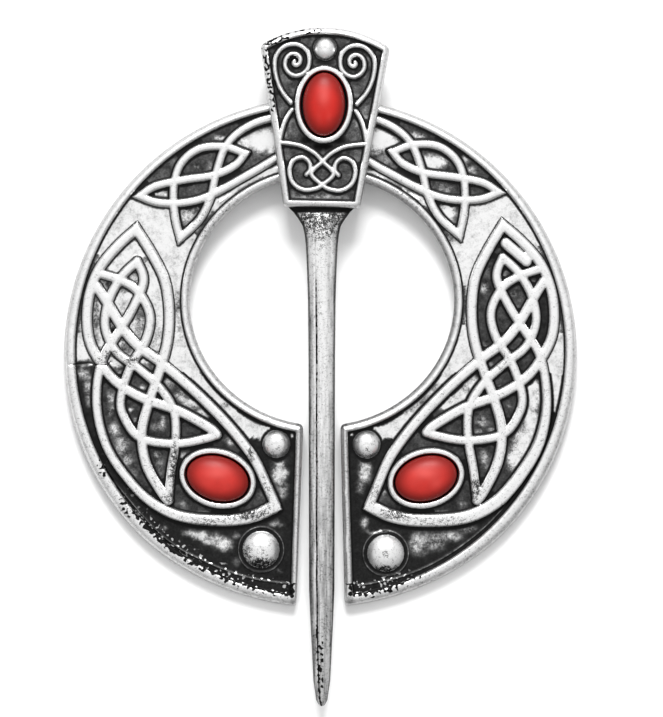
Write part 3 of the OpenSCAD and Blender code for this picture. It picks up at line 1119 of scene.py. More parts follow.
@dataclass
class Plate:
    """A cast plate: a relief over an outline, walls round it and a back.

    Attributes:
        spread: How far the wall stands out below each point of the outline.
        step: The distance between the mesh's points along raised edges. On the rest of the
            face it is coarse, and on the back it is sparse.
        shade: How much nearer raised metal seems on its shaded side, which widens the black beside
        it there as painted shade.
        carry: Moves plan points to their place, where the plate isn't drawn in place.
    """

    outline: Array
    spread: Array
    floor: float
    relief: Relief
    step: float
    coarse: float
    sparse: float = 1.6
    shade: float = 0.5
    carry: Move = still

    # Columns: share of the spread, way in, and share of the height left
    WALL: ClassVar[Table] = (
        (0.45, 0, 0.86), (0.8, 0, 0.6), (1, 0, 0.3), (1, 0, 0.1), (0.9, 0.03, 0.02), (0.9, 0.14, 0),
    )

    def depth(self, points: Array) -> Array:
        """Measures how far points lie inside the outline."""
        raise NotImplementedError

    def height(self, points: Array, lift: Array) -> Array:
        """Gives the plate's upper surface."""
        raise NotImplementedError

    def finish(self, points: Array, lift: Array, edge: Array) -> Array:
        """Gives the finish of the upper surface."""
        raise NotImplementedError

    def plan_points(self) -> Array:
        """Gives the inner points of the mesh: fine along the relief and coarse between.

        Returns:
            Rows of x and y.
        """
        cell = 0.4 * self.step
        fine = self.relief.mesh_points(self.step)
        fine = clear_of(thinned(fine[self.depth(fine) > cell], cell), self.outline, cell)
        filler = hex_grid(self.outline.min(0), self.outline.max(0), self.coarse)
        filler = filler[self.depth(filler) > 0.5 * self.coarse]
        filler = clear_of(filler, np.concatenate([fine, self.outline]), 0.55 * self.coarse)
        return np.concatenate([fine, filler])

    def build(self, surface: Surface) -> None:
        """Adds the whole plate to a surface.

        Args:
            surface: The mesh in the making.
        """
        plan, triangles = triangulated(self.outline, self.plan_points())
        lift, edge = self.relief.measure(plan)
        # Painted shade: the black beside raised metal is widened on its side away from the lamp, towards
        # -Y
        shaded = np.clip(-climb(plan, triangles, edge), 0, 1)
        edge = np.where(edge > 0, edge * (1 - self.shade * shaded), edge)
        top = self.height(plan, lift)
        face = np.column_stack([self.carry(plan), top])
        first = surface.add(face, self.finish(plan, lift, edge))
        surface.join(first + triangles)
        self.add_back(surface, *self.add_wall(surface, first, top[: len(self.outline)]))

    def add_wall(self, surface: Surface, above: int, rim: Array) -> tuple[int, Array]:
        """Adds the wall under the outline.

        Args:
            surface: The mesh in the making.
            above: The number of the outline's first point in the mesh.
            rim: The height of each of its points.

        Returns:
            The number of the first point at the wall's foot, and the plan of the foot.
        """
        out, ring = outward(self.outline), self.outline
        for spread, inward, share in self.WALL:
            ring = self.outline + out * (self.spread * spread - inward)[:, None]
            level = self.floor + (rim - self.floor) * share
            # Painted shade: the walls are grey, greyer towards their foot
            finish = Finish(edge=-0.4, tone=0.15, film=0.5 + 0.1 * (1 - share))
            below = surface.add(np.column_stack([self.carry(ring), level]), finish)
            surface.skin(above, below, len(ring))
            above = below
        return above, ring

    def add_back(self, surface: Surface, foot: int, ring: Array) -> None:
        """Adds the flat back.

        Args:
            surface: The mesh in the making.
            foot: The number of the first point at the wall's foot.
            ring: The plan of the foot.
        """
        inner = hex_grid(ring.min(0), ring.max(0), self.sparse)
        back, triangles = triangulated(ring, inner[self.depth(inner) > 0.5 * self.sparse])
        inner = back[len(ring):]
        low = np.column_stack([self.carry(inner), np.full(len(inner), self.floor)])
        first = surface.add(low, Finish(edge=-0.4, tone=0.2, film=0.4))
        number = np.concatenate([foot + np.arange(len(ring)), first + np.arange(len(inner))])
        surface.join(number[triangles][:, ::-1])


def filleted(pieces: list[Array], trim: float) -> Array:
    """Joins lines end to end into a closed outline with rounded corners.

    Args:
        pieces: Lines, each ending where the next one starts.
        trim: The length of line that each corner's rounding takes up.

    Returns:
        The closed outline, with no point given twice.
    """
    found = []
    for n, line in enumerate(pieces):
        away = np.linalg.norm(line - line[0], axis=1), np.linalg.norm(line - line[-1], axis=1)
        kept = line[(away[0] > trim) & (away[1] > trim)]
        after = pieces[(n + 1) % len(pieces)]
        start = after[np.linalg.norm(after - after[0], axis=1) > trim][0]
        t = np.linspace(0, 1, 6)[1:-1, None]
        corner = (1 - t) ** 2 * kept[-1] + 2 * t * (1 - t) * line[-1] + t**2 * start
        found += [kept, corner]
    return np.concatenate(found)


@dataclass(kw_only=True)
class HoopPlate(Plate):
    """The open hoop's plate. Each rounding gives how far in it goes and how far it falls."""

    ground: float
    hoop_r: float
    middle: Pair
    hole: Triple
    half_gap: Move
    rims: tuple[OvalBand, OvalBand]
    wings: tuple["Wing", "Wing"]
    gap_top: float = -4.0
    flat: float = 0.35
    outer_fall: float = 1.1
    hole_round: Pair = (0.45, 0.4)
    gap_round: Pair = (0.3, 0.25)
    waves: tuple[Grain, Grain] = (Grain(1.7, 3, 0.012), Grain(0.45, 4, 0.01))
    chips: tuple[Grain, float] = (Grain(0.34, 5), 0.14)
    pit_spots: Spots = Spots(HOOP_PITS)
    flake_spots: Spots = Spots(HOOP_FLAKES)

    def edges(self, points: Array) -> tuple[Array, Array, Array]:
        """Measures how far points lie in from the plate's edges.

        Args:
            points: Rows of x and y.

        Returns:
            The distances from the outside, from the hole and from the gap.
        """
        own = points - np.array(self.middle)
        out = self.hoop_r - np.hypot(own[:, 0], own[:, 1]) - self.flat * footward(own[:, 1])
        hole = oval_distance(points - np.array([0, self.hole[2]]), *self.hole[:2])
        gap = np.abs(points[:, 0]) - self.half_gap(points[:, 1])
        return out, hole, np.where(points[:, 1] < self.gap_top, gap, NO_LIMIT)

    def depth(self, points: Array) -> Array:
        """Measures how far points lie inside the outline."""
        out, hole, gap = self.edges(points)
        return np.minimum(np.minimum(out - self.spread.max(), hole), gap)

    def height(self, points: Array, lift: Array) -> Array:
        """Gives the hoop's face: the cast ground, its relief and its rounded edges.

        Args:
            points: Rows of x and y.
            lift: The relief's height over the ground at each point.

        Returns:
            The face's height at each point.
        """
        out, hole, gap = self.edges(points)
        reach = 0.6 + 0.6 * eased(points[:, 1], 10, -20)
        drop = rounded_drop(out, reach, self.outer_fall)
        drop = drop + rounded_drop(hole, *self.hole_round) + rounded_drop(gap, *self.gap_round)
        wave = sum(grain.at(points) for grain in self.waves)
        grain, depth = self.chips
        flaked = self.flake_spots.over(points, np.zeros(len(points)))
        chipped = flaked * eased(grain.at(points), 0.05, 0.4)
        return self.ground + lift - drop + wave - depth * chipped * (lift > 0.3)

    def finish(self, points: Array, lift: Array, edge: Array) -> Array:
        """Gives the hoop's finish: tarnish in the ground, pits and flakes on the raised metal.
        Its rounded edges get grey painted shade.

        Args:
            points: Rows of x and y.
            lift: The relief's height over the ground at each point.
            edge: Each point's distance from raised metal, below 0 on it.

        Returns:
            The columns of Finish, one row a point.
        """
        x, y = points.T
        raised = edge < 0
        tone, groove = self.ground_tone(points, self.edges(points)[0])
        rims = np.minimum(*(band.reach(points) for band in self.rims))
        groove = np.maximum(groove, 0.6 * eased(rims, 0.6, 0.25))
        groove = np.where(raised, 0.2 + 0.08 * eased(y, 4, -6), groove)
        rubbed = eased(lift, 0.04, 0.16) * (edge > 0) * (edge < NO_LIMIT)
        pits = self.pit_spots.over(points, 0.2 + 0.09 * eased(y, 6, -6))
        tone = np.where(raised, pits, tone * (1 - 0.32 * rubbed))
        near = np.clip(edge, *EDGE_SPAN)
        return finish_rows(len(x), near, tone, self.film(points), self.flaking(points), groove)

    def film(self, points: Array) -> Array:
        """Gives the thin grey along the gap, the outside, the foot's bevel and the hole.
        It is painted shade on these rounded edges, greyer towards the right.

        Args:
            points: Rows of x and y.

        Returns:
            The film at each point.
        """
        x, y = points.T
        out, hole, gap = self.edges(points)
        foot = eased(y, 5, -18)
        film = 0.3 * eased(gap, 0.8, 0.7) + 0.25 * foot * eased(out, 0.95, 0.5) * eased(x, -25, 0)
        film = film + (0.34 + 0.16 * eased(x, 0, 20)) * eased(out, 0.6, 0.2)
        return film + 0.75 * eased(hole, 0.6, 0.15) * (0.7 + 0.5 * eased(x, -8, 8))

    def flaking(self, points: Array) -> Array:
        """Gives how far the face is torn: along the border at the lower left, and in spots.

        Args:
            points: Rows of x and y.

        Returns:
            The flaking at each point.
        """
        out, _, gap = self.edges(points)
        angle = np.degrees(np.arctan2(points[:, 1], points[:, 0])) % 360
        worn = eased(angle, 212, 226) * eased(angle, 300, 285)
        border = worn * eased(out, 0.85, 1.25) * (out < 2.6) * eased(gap, 0.15, 0.35)
        return np.maximum(border, self.flake_spots.over(points, np.zeros(len(points))))

    def ground_tone(self, points: Array, out: Array) -> tuple[Array, Array]:
        """Gives the ground's darkness and how far it darkens towards raised edges.

        Args:
            points: Rows of x and y.
            out: Each point's distance in from the outside.

        Returns:
            The darkness in open ground, and the depth of the grooves beside raised metal.
        """
        tone, groove = np.zeros(len(points)), np.zeros(len(points))
        for wing in self.wings:
            own = points[:, 0] * wing.way > 0
            tone[own], groove[own] = wing.ground(points[own], out[own])
        return tone, groove


@dataclass(frozen=True)
class Wing:
    """The knots and the half wedge on one side of the hoop, and the tarnish round them.

    Attributes:
        way: 1 on the right and -1 on the left.
        leaf_dark_below: Where along Y the ground inside the leaf turns dark.
        strip_dark_below: Where along Y the strip outside the leaf turns dark.
        swelling: The widths of the lower strand where it starts and where it ends.
        swell: The shares of its length between which it widens.
        spread: How far its lower part stands out.
        bar: The width of the short bar in the leaf's tip, or 0 without one.
    """

    way: int
    spots: Spots
    turn: float = 0.0
    shift: float = 0.0
    leaf_dark_below: float = 30.0
    strip_dark_below: float = -7.6
    strand: float = 0.97
    leaf: float = 1.1
    knot: float = 0.87
    swelling: Pair = (0.98, 1.45)
    swell: Pair = (0.6, 1.0)
    spread: float = 0.0
    wedge: Profile = Profile(0.36, crown=0.16, foot=0.2, shoulder=0.5, crown_reach=0.9)
    bar: float = 0.0
    wander: Grain = Grain(0.9, 6, 0.3)

    def placed(self, rows: Table) -> Array:
        """Puts a table on this side, turned and shifted a little as it was cast.

        Args:
            rows: Points with columns x, outwards, and y.

        Returns:
            The points on this side of the hoop.
        """
        points = np.array(rows, float)
        moved = turned(points, self.turn) + np.array([self.shift, 0])
        moved[:, 1] = points[:, 1] + (moved[:, 1] - points[:, 1]) * eased(points[:, 1], -19, -9)
        away = np.hypot(*moved.T)
        moved *= (1 + self.spread * eased(moved[:, 1], -3, -9) * eased(away, 22, 24.5) / away)[:, None]
        return moved * np.array([self.way, 1])

    def ground(self, points: Array, out: Array) -> tuple[Array, Array]:
        """Gives the tarnish of the ground on this side.

        Args:
            points: Rows of x and y.
            out: Each point's distance in from the hoop's outside.

        Returns:
            The darkness in open ground, and the depth of the grooves beside raised metal.
        """
        y = points[:, 1] + self.wander.at(points)
        leaf = (*LEAF_OUTER[:6], *LOOP_INNER[5:], *HAIRPIN_LOWER[::-1][:6], *LEAF_INNER[1:5][::-1])
        inside = Panel(self.placed(leaf)).reach(points) < 0
        knot = Panel(self.placed(KNOT_GROUND)).reach(points) < 0
        strip = (out > 4) & (y > -9.2) | (y > self.strip_dark_below)
        tone = np.where(strip, PALE_GROUND, DARK_GROUND)
        groove = np.where(y > -2, 0.25, 0.9)
        inner = eased(y, self.leaf_dark_below + 0.4, self.leaf_dark_below - 0.4)
        tone = np.where(inside, PALE_GROUND + 0.62 * inner, tone)
        groove = np.where(inside, 0.35 + 0.5 * inner, groove)
        tone = np.where(knot, 0.7, tone)
        groove = np.where(knot, 0.75, groove)
        return self.spots.over(points, tone), groove

    def of(self, rows: Table, width: float) -> Strand:
        """Makes one strand on this side."""
        return Strand(self.placed(rows), width)

    def features(self) -> list[Raised]:
        """Gathers the wing's strands, their pointed tips and the half wedge.

        Returns:
            The wing's raised features.
        """
        leaf = [self.of(rows, self.leaf) for rows in (LEAF_OUTER, LEAF_INNER, HAIRPIN_LOWER)]
        loops = [self.of(rows, self.strand) for rows in (LOOP_OUTER, HAIRPIN_UPPER)]
        loops.append(Strand(self.placed(LOOP_INNER), *self.swelling, self.swell))
        top, rise, upper, lower = (
            self.of(rows, self.knot) for rows in (KNOT_TOP, KNOT_RISE, KNOT_UPPER, KNOT_LOWER)
        )
        tips = ((leaf[0], leaf[1]), (leaf[2], loops[2]), (top, rise), (upper, lower), (upper, top))
        found = [Raised(shape) for shape in (*leaf, *loops, top, rise, upper, lower)]
        found += [Raised(mitre(*pair)) for pair in tips]
        found.append(Raised(Panel(self.placed(WEDGE)), self.wedge, inked=False))
        if self.bar:
            found.append(Raised(self.of(BAR, self.bar)))
        return found


@dataclass
class HoopCasting:
    """The open hoop in one casting.

    Attributes:
        top_r: The outer radius of the face, inside the rounded wall.
        flat: The share by which the foot's radius is drawn in.
        hole: The hole's half width, its half height and its middle's place along Y.
        gap_in: Half the gap's width at the hole, and gap_out at the outside.
        rim: The middle and the radius of the outer rim's inner edge.
        stone: The right stone's place and turn. The left one is its mirror image.
    """

    wings: tuple[Wing, Wing] = (
        Wing(-1, Spots(LEFT_TONE), leaf_dark_below=-0.9, strip_dark_below=-0.9),
        Wing(
            1, Spots(RIGHT_TONE), turn=1.2, shift=-0.19, swelling=(0.98, 1.42),
            swell=(0.4, 0.62), spread=0.24, bar=1.2,
        ),
    )
    ground: float = 1.3
    hoop_r: float = 28.1
    top_r: float = 27.8
    flat: float = 0.0125
    hole: Triple = (14.5, 13.7, 6.05)
    gap_in: float = 2.05
    gap_out: float = 2.7
    middle: Pair = (-0.15, 0.2)
    rim: Triple = (-0.17, 0.56, 26.84)
    hole_rim: float = 0.88
    gap_rim: float = 0.75
    small_bosses: Table = ((4.9, -9.7, 1.52), (-4.97, -9.65, 1.52))
    large_bosses: Table = ((7, -21.6, 2.02), (-6.65, -21.2, 2.02))
    boss_ring: float = 2.47
    stone: Triple = (11.4, -13.4, 16.7)
    stone_opening: Pair = (3.58, 2.53)
    bezel: float = 0.7
    collar: Profile = Profile(0.95, crown=0.14, foot=0.05, shoulder=0.13, crown_reach=0.3)
    ridge: float = 0.15
    ring: float = 0.07
    fine: Profile = Profile(0.2, crown=0.08, foot=0.04, shoulder=0.06, crown_reach=0.08)
    crack: float = 0.14
    step: float = 0.17
    coarse: float = 0.3

    def half_gap(self, y: Array) -> Array:
        """Gives half the gap's width at a place along Y."""
        foot = self.hole[2] - self.hole[1]
        return self.gap_in + (self.gap_out - self.gap_in) * (foot - y) / (foot + self.hoop_r)

    def outline(self) -> tuple[Array, Array]:
        """Draws the outline of the hoop's face.

        Returns:
            The closed outline, anticlockwise, and how far the wall below each point stands out.
        """
        low = math.degrees(math.asin(self.gap_out / self.top_r))
        a = np.radians(np.linspace(-90 + low, 270 - low, 1150))
        outer = self.top_r * np.stack([np.cos(a), np.sin(a)], axis=1)
        outer = outer * (1 - self.flat * footward(outer[:, 1]))[:, None] + np.array(self.middle)
        side = math.asin(self.gap_in / self.hole[0])
        a = np.linspace(1.5 * math.pi - side, -0.5 * math.pi + side, 640)
        inner = np.stack([self.hole[0] * np.cos(a), self.hole[2] + self.hole[1] * np.sin(a)], axis=1)
        into = spaced(np.stack([outer[-1], inner[0]]), 0.15)
        back = spaced(np.stack([inner[-1], outer[0]]), 0.15)
        line = filleted([outer, into, inner, back], 0.5)
        radial = line / np.linalg.norm(line, axis=1)[:, None]
        facing = np.clip((outward(line) * radial).sum(1), 0, 1)
        return line, 0.03 + (self.hoop_r - self.top_r - 0.03) * facing**2

    def rims(self) -> tuple[OvalBand, OvalBand]:
        """Gives the rims.

        Returns:
            The rim along the hole and the rim along the outside.
        """
        *middle, inner = self.rim
        round_hole = OvalBand((0, self.hole[2]), self.hole[:2], outer=self.hole_rim)
        return round_hole, OvalBand(tuple(middle), (inner, inner), inner=0)

    def relief(self) -> Relief:
        """Gathers the hoop's rims, knots, bosses and bezels, and its crack.

        Returns:
            The hoop's relief.
        """
        features = [feature for wing in self.wings for feature in wing.features()]
        features += [Raised(band) for band in self.rims()]
        features.append(Raised(GapRim(self.half_gap, self.gap_rim)))
        features += [boss(*row) for row in (*self.small_bosses, *self.large_bosses)]
        for x, y, _ in self.large_bosses:
            ring = OvalBand((x, y), (self.boss_ring,) * 2, inner=-self.ring, outer=self.ring)
            features.append(Raised(ring, self.fine, inked=False))
        for rows in (LEFT_RIDGE, RIGHT_RIDGE):
            features.append(Raised(Strand(rows, self.ridge), self.fine, inked=False))
        x, y, turn = self.stone
        settings = [
            setting((way * x, y), self.stone_opening, way * turn, self.bezel, self.collar)
            for way in (1, -1)
        ]
        features += [bezel for bezel, _ in settings]
        return Relief(features, [seat for _, seat in settings], [Strand(CRACK, self.crack)])

    def build(self, placement: Placement) -> bpy.types.Object:
        """Makes the hoop and puts it in place of its solid.

        Args:
            placement: Where the brooch's own frame lies.

        Returns:
            The hoop's object.
        """
        outline, spread = self.outline()
        plate = HoopPlate(
            outline, spread, 0.0, self.relief(), self.step, self.coarse, ground=self.ground,
            hoop_r=self.hoop_r, middle=self.middle, hole=self.hole, half_gap=self.half_gap,
            rims=self.rims(), wings=self.wings,
        )
        surface = Surface()
        plate.build(surface)
        made = surface.made("hoop_casting", placement)
        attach(made, "hoop")
        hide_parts("hoop")
        return made


@dataclass(kw_only=True)
class HeadPlate(Plate):
    """The plate of the pin's head, drawn from the middle of its foot."""

    ground: float
    edge_round: Pair = (0.3, 0.26)
    waves: tuple[Grain, Grain] = (Grain(1.3, 13, 0.014), Grain(0.4, 14, 0.01))
    tone: float = 0.68
    spots: Spots = Spots(HEAD_TONE_AND_SHADOW)

    def depth(self, points: Array) -> Array:
        """Measures how far points lie inside the outline."""
        return -Panel(self.outline).reach(points)

    def height(self, points: Array, lift: Array) -> Array:
        """Gives the head's face: its ground, its relief and its rounded edge."""
        drop = rounded_drop(self.depth(points), *self.edge_round)
        return self.ground + lift - drop + sum(grain.at(points) for grain in self.waves)

    def finish(self, points: Array, lift: Array, edge: Array) -> Array:
        """Gives the head's finish: a dark ground under bright wires, with painted shadow below the
        bezel and the boss and painted shade along the rounded edge.

        Args:
            points: Rows of x and y.
            lift: The relief's height over the ground at each point. Not used here.
            edge: Each point's distance from raised metal, below 0 on it.

        Returns:
            The columns of Finish, one row a point.
        """
        raised = edge < 0
        ground = self.spots.over(points, np.full(len(points), self.tone))
        # Painted shade: grey on the rounded edge along the outline
        film = 0.35 * eased(self.depth(points), 0.3, 0.08)
        tone, groove = np.where(raised, 0.2, ground), np.where(raised, 0.08, 0.75)
        near = np.clip(edge, *EDGE_SPAN)
        return finish_rows(len(points), near, tone, film, self.flaking(points), groove)

    def flaking(self, points: Array) -> Array:
        """Gives how far the border is torn: most on the left and the top.

        Args:
            points: Rows of x and y.

        Returns:
            The flaking at each point.
        """
        x, y = points.T
        left = 0.6 * eased(x, -3.5, -4.2) * eased(y, 7, 14)
        top = 0.4 * eased(y, 17.5, 18.2) * eased(x, 1, -2)
        return (self.depth(points) < 0.6) * np.maximum(left, top)


@dataclass
class Shank:
    """The pin's tapering shank, swept from under the head to its tip.

    Attributes:
        groove: The places along Y between which the groove beside the ridge sets in.
        neck: The places between which the neck greys.
        recess_shadow: The places between which it turns black just below the head: dark patina there and
        painted shadow of the head.
        foot: The places between which the face is dulled.
        torn: The places between which the ridge is torn near the tip.
    """

    half_width: float = 1.45
    thickness: float = 1.45
    underside: float = 2.55
    groove: Pair = (9.6, 6.2)
    neck: Pair = (10.5, 15)
    recess_shadow: Pair = (15.5, 15.75)
    foot: Pair = (4, -26)
    torn: Pair = (-27, -33)
    wander: Grain = Grain(2.4, 21, 0.03)
    rough: Grain = Grain(0.5, 22, 0.014)
    streaks: Grain = Grain(0.4, 23, 0.25)
    step: float = 0.22

    # Columns: y, half width and thickness as shares
    TAPER: ClassVar[Table] = (
        (17.4, 2.62, 0.7), (16.2, 2.5, 0.72), (15.7, 2.14, 0.76), (14.9, 1.74, 0.86),
        (14.2, 1.44, 0.94), (13.3, 1.3, 1), (12.2, 1.21, 1), (10.6, 1.15, 1), (8.8, 1.1, 1),
        (6, 1.04, 1), (0, 1, 1), (-25.6, 0.95, 1), (-28.9, 0.86, 0.96), (-32.1, 0.75, 0.9),
        (-35.4, 0.64, 0.82), (-37.6, 0.42, 0.66), (-38.15, 0.2, 0.5),
    )
    # Columns: x share, height share with the groove and without it, flaking, film. The last column
    # greys the sloping sides as painted shade.
    SECTION: ClassVar[Table] = (
        (-0.41, 0.74, 0.97, 0.68, 0.45), (-0.45, 0.84, 0.96, 0.1, 0.15), (-0.51, 0.86, 0.95, 0, 0.12),
        (-0.65, 0.83, 0.9, 0, 0.35), (-0.8, 0.77, 0.79, 0, 0.58), (-0.91, 0.66, 0.66, 0.1, 1.05),
        (-1, 0.45, 0.45, 0.25, 1.15), (-0.96, 0.15, 0.15, 0.1, 0.5), (-0.8, 0, 0, 0.1, 0.4),
        (0, 0, 0, 0.1, 0.3), (0.8, 0, 0, 0.1, 0.4), (0.96, 0.15, 0.15, 0.1, 0.5),
        (1, 0.45, 0.45, 0.25, 1.15), (0.92, 0.66, 0.66, 0.1, 1.15), (0.8, 0.8, 0.79, 0, 0.45),
        (0.62, 0.9, 0.88, 0, 0.34), (0.45, 0.96, 0.94, 0, 0.28), (0.2, 1, 0.99, 0, 0.14),
        (0, 1, 1, 0, 0.08), (-0.18, 0.98, 1, 0, 0.05), (-0.32, 0.92, 0.99, 0.15, 0.1),
        (-0.38, 0.8, 0.98, 0.6, 0.35),
    )

    def section(self) -> Array:
        """Runs a smooth closed line through the section's rows.

        Returns:
            The line's points, with every column of the section.
        """
        rows = np.array(self.SECTION)
        return curved(*(np.roll(rows, n, axis=0) for n in (1, 0, -1, -2)), 4)

    def ring(self, place: float, half: float, thick: float) -> tuple[Array, Array]:
        """Draws the section at one place.

        Args:
            place: The place along Y.
            half: Half the shank's width there.
            thick: Its thickness there.

        Returns:
            The section's points and their finish.
        """
        across, grooved, plain, torn, film = self.section().T
        away, there = np.abs(across), np.full(len(across), place)
        spans = (self.groove, self.neck, self.recess_shadow, self.foot, self.torn)
        groove, neck, recess_shadow, foot, tip = (eased(place, *span) for span in spans)
        level = plain + (grooved - plain) * groove
        wander = self.wander.at(np.array([[place, 0.0]]))[0] * groove
        x = across * half + wander * (away < 0.6)
        rough = self.rough.at(np.column_stack([x * 1.5, there])) * (level > 0.3)
        scratched = 0.5 * tip * (np.abs(across + 0.2) < 0.35)
        # The section's grey sides are painted shade; the rubbing and streaks added below are wear
        film = film * np.where(np.abs(across + 0.67) < 0.2, 0.4 + 0.6 * groove, 1)
        rubbed = np.where(away < 0.45, 0.44, 0.26) * foot
        streaks = self.streaks.at(np.column_stack([x * 3, there * 0.22]))
        film = film + (rubbed + streaks) * (level > 0.7) + 0.15 * neck
        # Painted shadow of the head, with patina: black just below it
        tone = max(0.3 + 0.6 * neck, 0.95 * recess_shadow)
        flake = np.where(away > 0.9, torn, torn * groove + scratched)
        black = 0.9 * recess_shadow
        points = np.column_stack([x, there, self.underside + level * thick + rough])
        return points, finish_rows(len(x), black - 0.5, tone, film, flake, black)

    def build(self, surface: Surface) -> None:
        """Adds the shank to the pin's surface.

        Args:
            surface: The pin's mesh in the making.
        """
        taper = np.array(self.TAPER)[::-1]
        y = np.append(np.arange(taper[-1, 0], taper[0, 0], -self.step), taper[0, 0])
        half = self.half_width * np.interp(y, taper[:, 0], taper[:, 1])
        thick = self.thickness * np.interp(y, taper[:, 0], taper[:, 2])
        starts = [surface.add(*self.ring(*row)) for row in zip(y, half, thick)]
        count = surface.count - starts[-1]
        for above, below in zip(starts[:-1], starts[1:]):
            surface.skin(above, below, count)
        end = Finish(edge=-0.5, tone=0.2, film=0.2)
        tip = surface.add(np.array([[0, y[-1] - 0.15, self.underside + 0.45 * thick[-1]]]), end)
        surface.cap(tip, starts[-1], count, ahead=True)
        top = surface.add(np.array([[0, y[0], self.underside + 0.5 * thick[0]]]), end)
        surface.cap(top, starts[0], count)


@dataclass
class BackLoop:
    """The plain strap that runs from the head round the hoop and back."""

    width: float = 6.6
    thickness: float = 1.25
    foot_y: float = 16.9
    end_y: float = 29.5
    low: float = -1.5
    high: float = 3.2
    bend: float = 0.72
    corner: float = 0.3
    rough: Grain = Grain(1.6, 31, 0.02)
    step: float = 0.5

    def path(self) -> Array:
        """Draws the strap's middle line: down, across under the hoop, and up.

        Returns:
            Rows of y and z.
        """
        half = self.thickness / 2
        left, right, low = self.foot_y + half, self.end_y - half, self.low + half
        a = np.radians(np.linspace(180, 270, 9))
        in_by, level = self.bend * (1 + np.cos(a)), low + self.bend * (1 + np.sin(a))
        first = np.stack([left + in_by, level], axis=1)
        second = np.stack([right - in_by, level], axis=1)[::-1]
        down = spaced(np.array([[left, self.high], first[0]]), self.step)[:-1]
        across = spaced(np.stack([first[-1], second[0]]), self.step)[1:-1]
        up = spaced(np.array([second[-1], [right, self.high]]), self.step)[1:]
        return np.concatenate([down, first, across, second, up])

    def section(self) -> Array:
        """Draws the strap's rounded section.

        Returns:
            Rows of x and the height off the middle line.
        """
        wide, high = self.width / 2 - self.corner, self.thickness / 2 - self.corner
        found = []
        for quarter, (x, z) in enumerate(((1, 1), (-1, 1), (-1, -1), (1, -1))):
            a = np.radians(np.linspace(0, 90, 5) + 90 * quarter)
            arc = np.column_stack([x * wide + self.corner * np.cos(a), z * high + self.corner * np.sin(a)])
            found.append(arc)
            if x == z:
                flat = np.linspace(arc[-1, 0], -arc[-1, 0], 12)[1:-1]
                found.append(np.column_stack([flat, np.full(len(flat), arc[-1, 1])]))
        return np.concatenate(found)

    def build(self, surface: Surface) -> None:
        """Adds the strap to the pin's surface.

        Args:
            surface: The pin's mesh in the making.
        """
        path, section = self.path(), self.section()
        starts = []
        for centre, out in zip(path, leftward(path)):
            ring = np.column_stack([section[:, 0], centre + out * section[:, 1:]])
            ring[:, 2] += self.rough.at(ring[:, :2])
            starts.append(surface.add(ring, Finish(edge=-0.5, tone=0.15, film=0.2)))
        for before, after in zip(starts[:-1], starts[1:]):
            surface.skin(after, before, len(section))


@dataclass
class HeadedPin:
    """The pin in one casting: its head, which leans a little, the loop behind it and its shank."""

    length: float = 19.4
    top_width: float = 13.9
    foot_width: float = 8.1
    arch: float = 2.0
    foot_y: float = 16.3
    lean: float = 1.2
    underside: float = 2.2
    ground: float = 3.7
    spread: float = 0.16
    border: float = 0.62
    wire: float = 0.47
    cast: Profile = Profile(0.7, crown=0.14, foot=0.05, shoulder=0.1, crown_reach=0.22)
    boss: Triple = (0, 17.2, 1.3)
    stone_at: Pair = (0, 11.1)
    stone_opening: Pair = (3.58, 2.53)
    bezel: float = 0.64
    collar: Profile = Profile(0.95, crown=0.1, foot=0.05, shoulder=0.12, crown_reach=0.3)
    spiral_at: Pair = (3.2, 15.78)
    step: float = 0.13
    coarse: float = 0.26

    def corners(self) -> Array:
        """Draws the head's outline: its foot, its flaring sides and its arched top.

        Returns:
            The closed outline, anticlockwise.
        """
        half = self.top_width / 2
        arch_r = (half**2 + self.arch**2) / (2 * self.arch)
        reach = math.degrees(math.asin(half / arch_r))
        a = np.radians(np.linspace(90 - reach, 90 + reach, 90))
        top = np.stack([arch_r * np.cos(a), self.length - arch_r + arch_r * np.sin(a)], axis=1)
        foot = np.array([[-self.foot_width / 2, 0], [self.foot_width / 2, 0]])
        sides = [spaced(foot, self.step), spaced(np.stack([foot[1], top[0]]), self.step)]
        return filleted([*sides, top, spaced(np.stack([top[-1], foot[0]]), self.step)], 0.35)

    def spiral(self) -> Table:
        """Draws the right spiral's wire: up its tail, then in round its middle.

        Returns:
            The wire's points.
        """
        x, y = self.spiral_at
        quarter = np.arange(0, len(SPIRAL_RADII) - 0.99, 1 / 3)
        radius = np.interp(quarter, np.arange(len(SPIRAL_RADII)), SPIRAL_RADII)
        angle = quarter * math.pi / 2
        turns = np.stack([x + radius * np.cos(angle), y + radius * np.sin(angle)], axis=1)
        return (*SPIRAL_TAIL, *map(tuple, turns))

    def relief(self, corners: Array) -> Relief:
        """Gathers the head's border, wires, boss and bezel.

        Args:
            corners: The head's outline.

        Returns:
            The head's relief.
        """
        features = [Raised(Border(corners, self.border))]
        for rows in (self.spiral(), DIAGONAL, HOOK):
            features += [Raised(Strand(table, self.wire)) for table in (rows, mirrored(rows))]
        bezel, seat = setting(self.stone_at, self.stone_opening, 90, self.bezel, self.collar)
        return Relief([*features, boss(*self.boss), bezel], [seat], cast=self.cast)

    def carried(self, points: Array) -> Array:
        """Carries plan points of the head to the brooch's own frame."""
        return turned(points, -self.lean) + np.array([0, self.foot_y])

    def build(self, placement: Placement) -> bpy.types.Object:
        """Makes the pin and puts it in place of its solid.

        Args:
            placement: Where the brooch's own frame lies.

        Returns:
            The pin's object.
        """
        corners = self.corners()
        plate = HeadPlate(
            corners, np.full(len(corners), self.spread), self.underside, self.relief(corners),
            self.step, self.coarse, carry=self.carried, ground=self.ground,
        )
        surface = Surface()
        plate.build(surface)
        Shank().build(surface)
        BackLoop().build(surface)
        made = surface.made("pin_casting", placement)
        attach(made, "pin")
        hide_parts("pin")
        return made


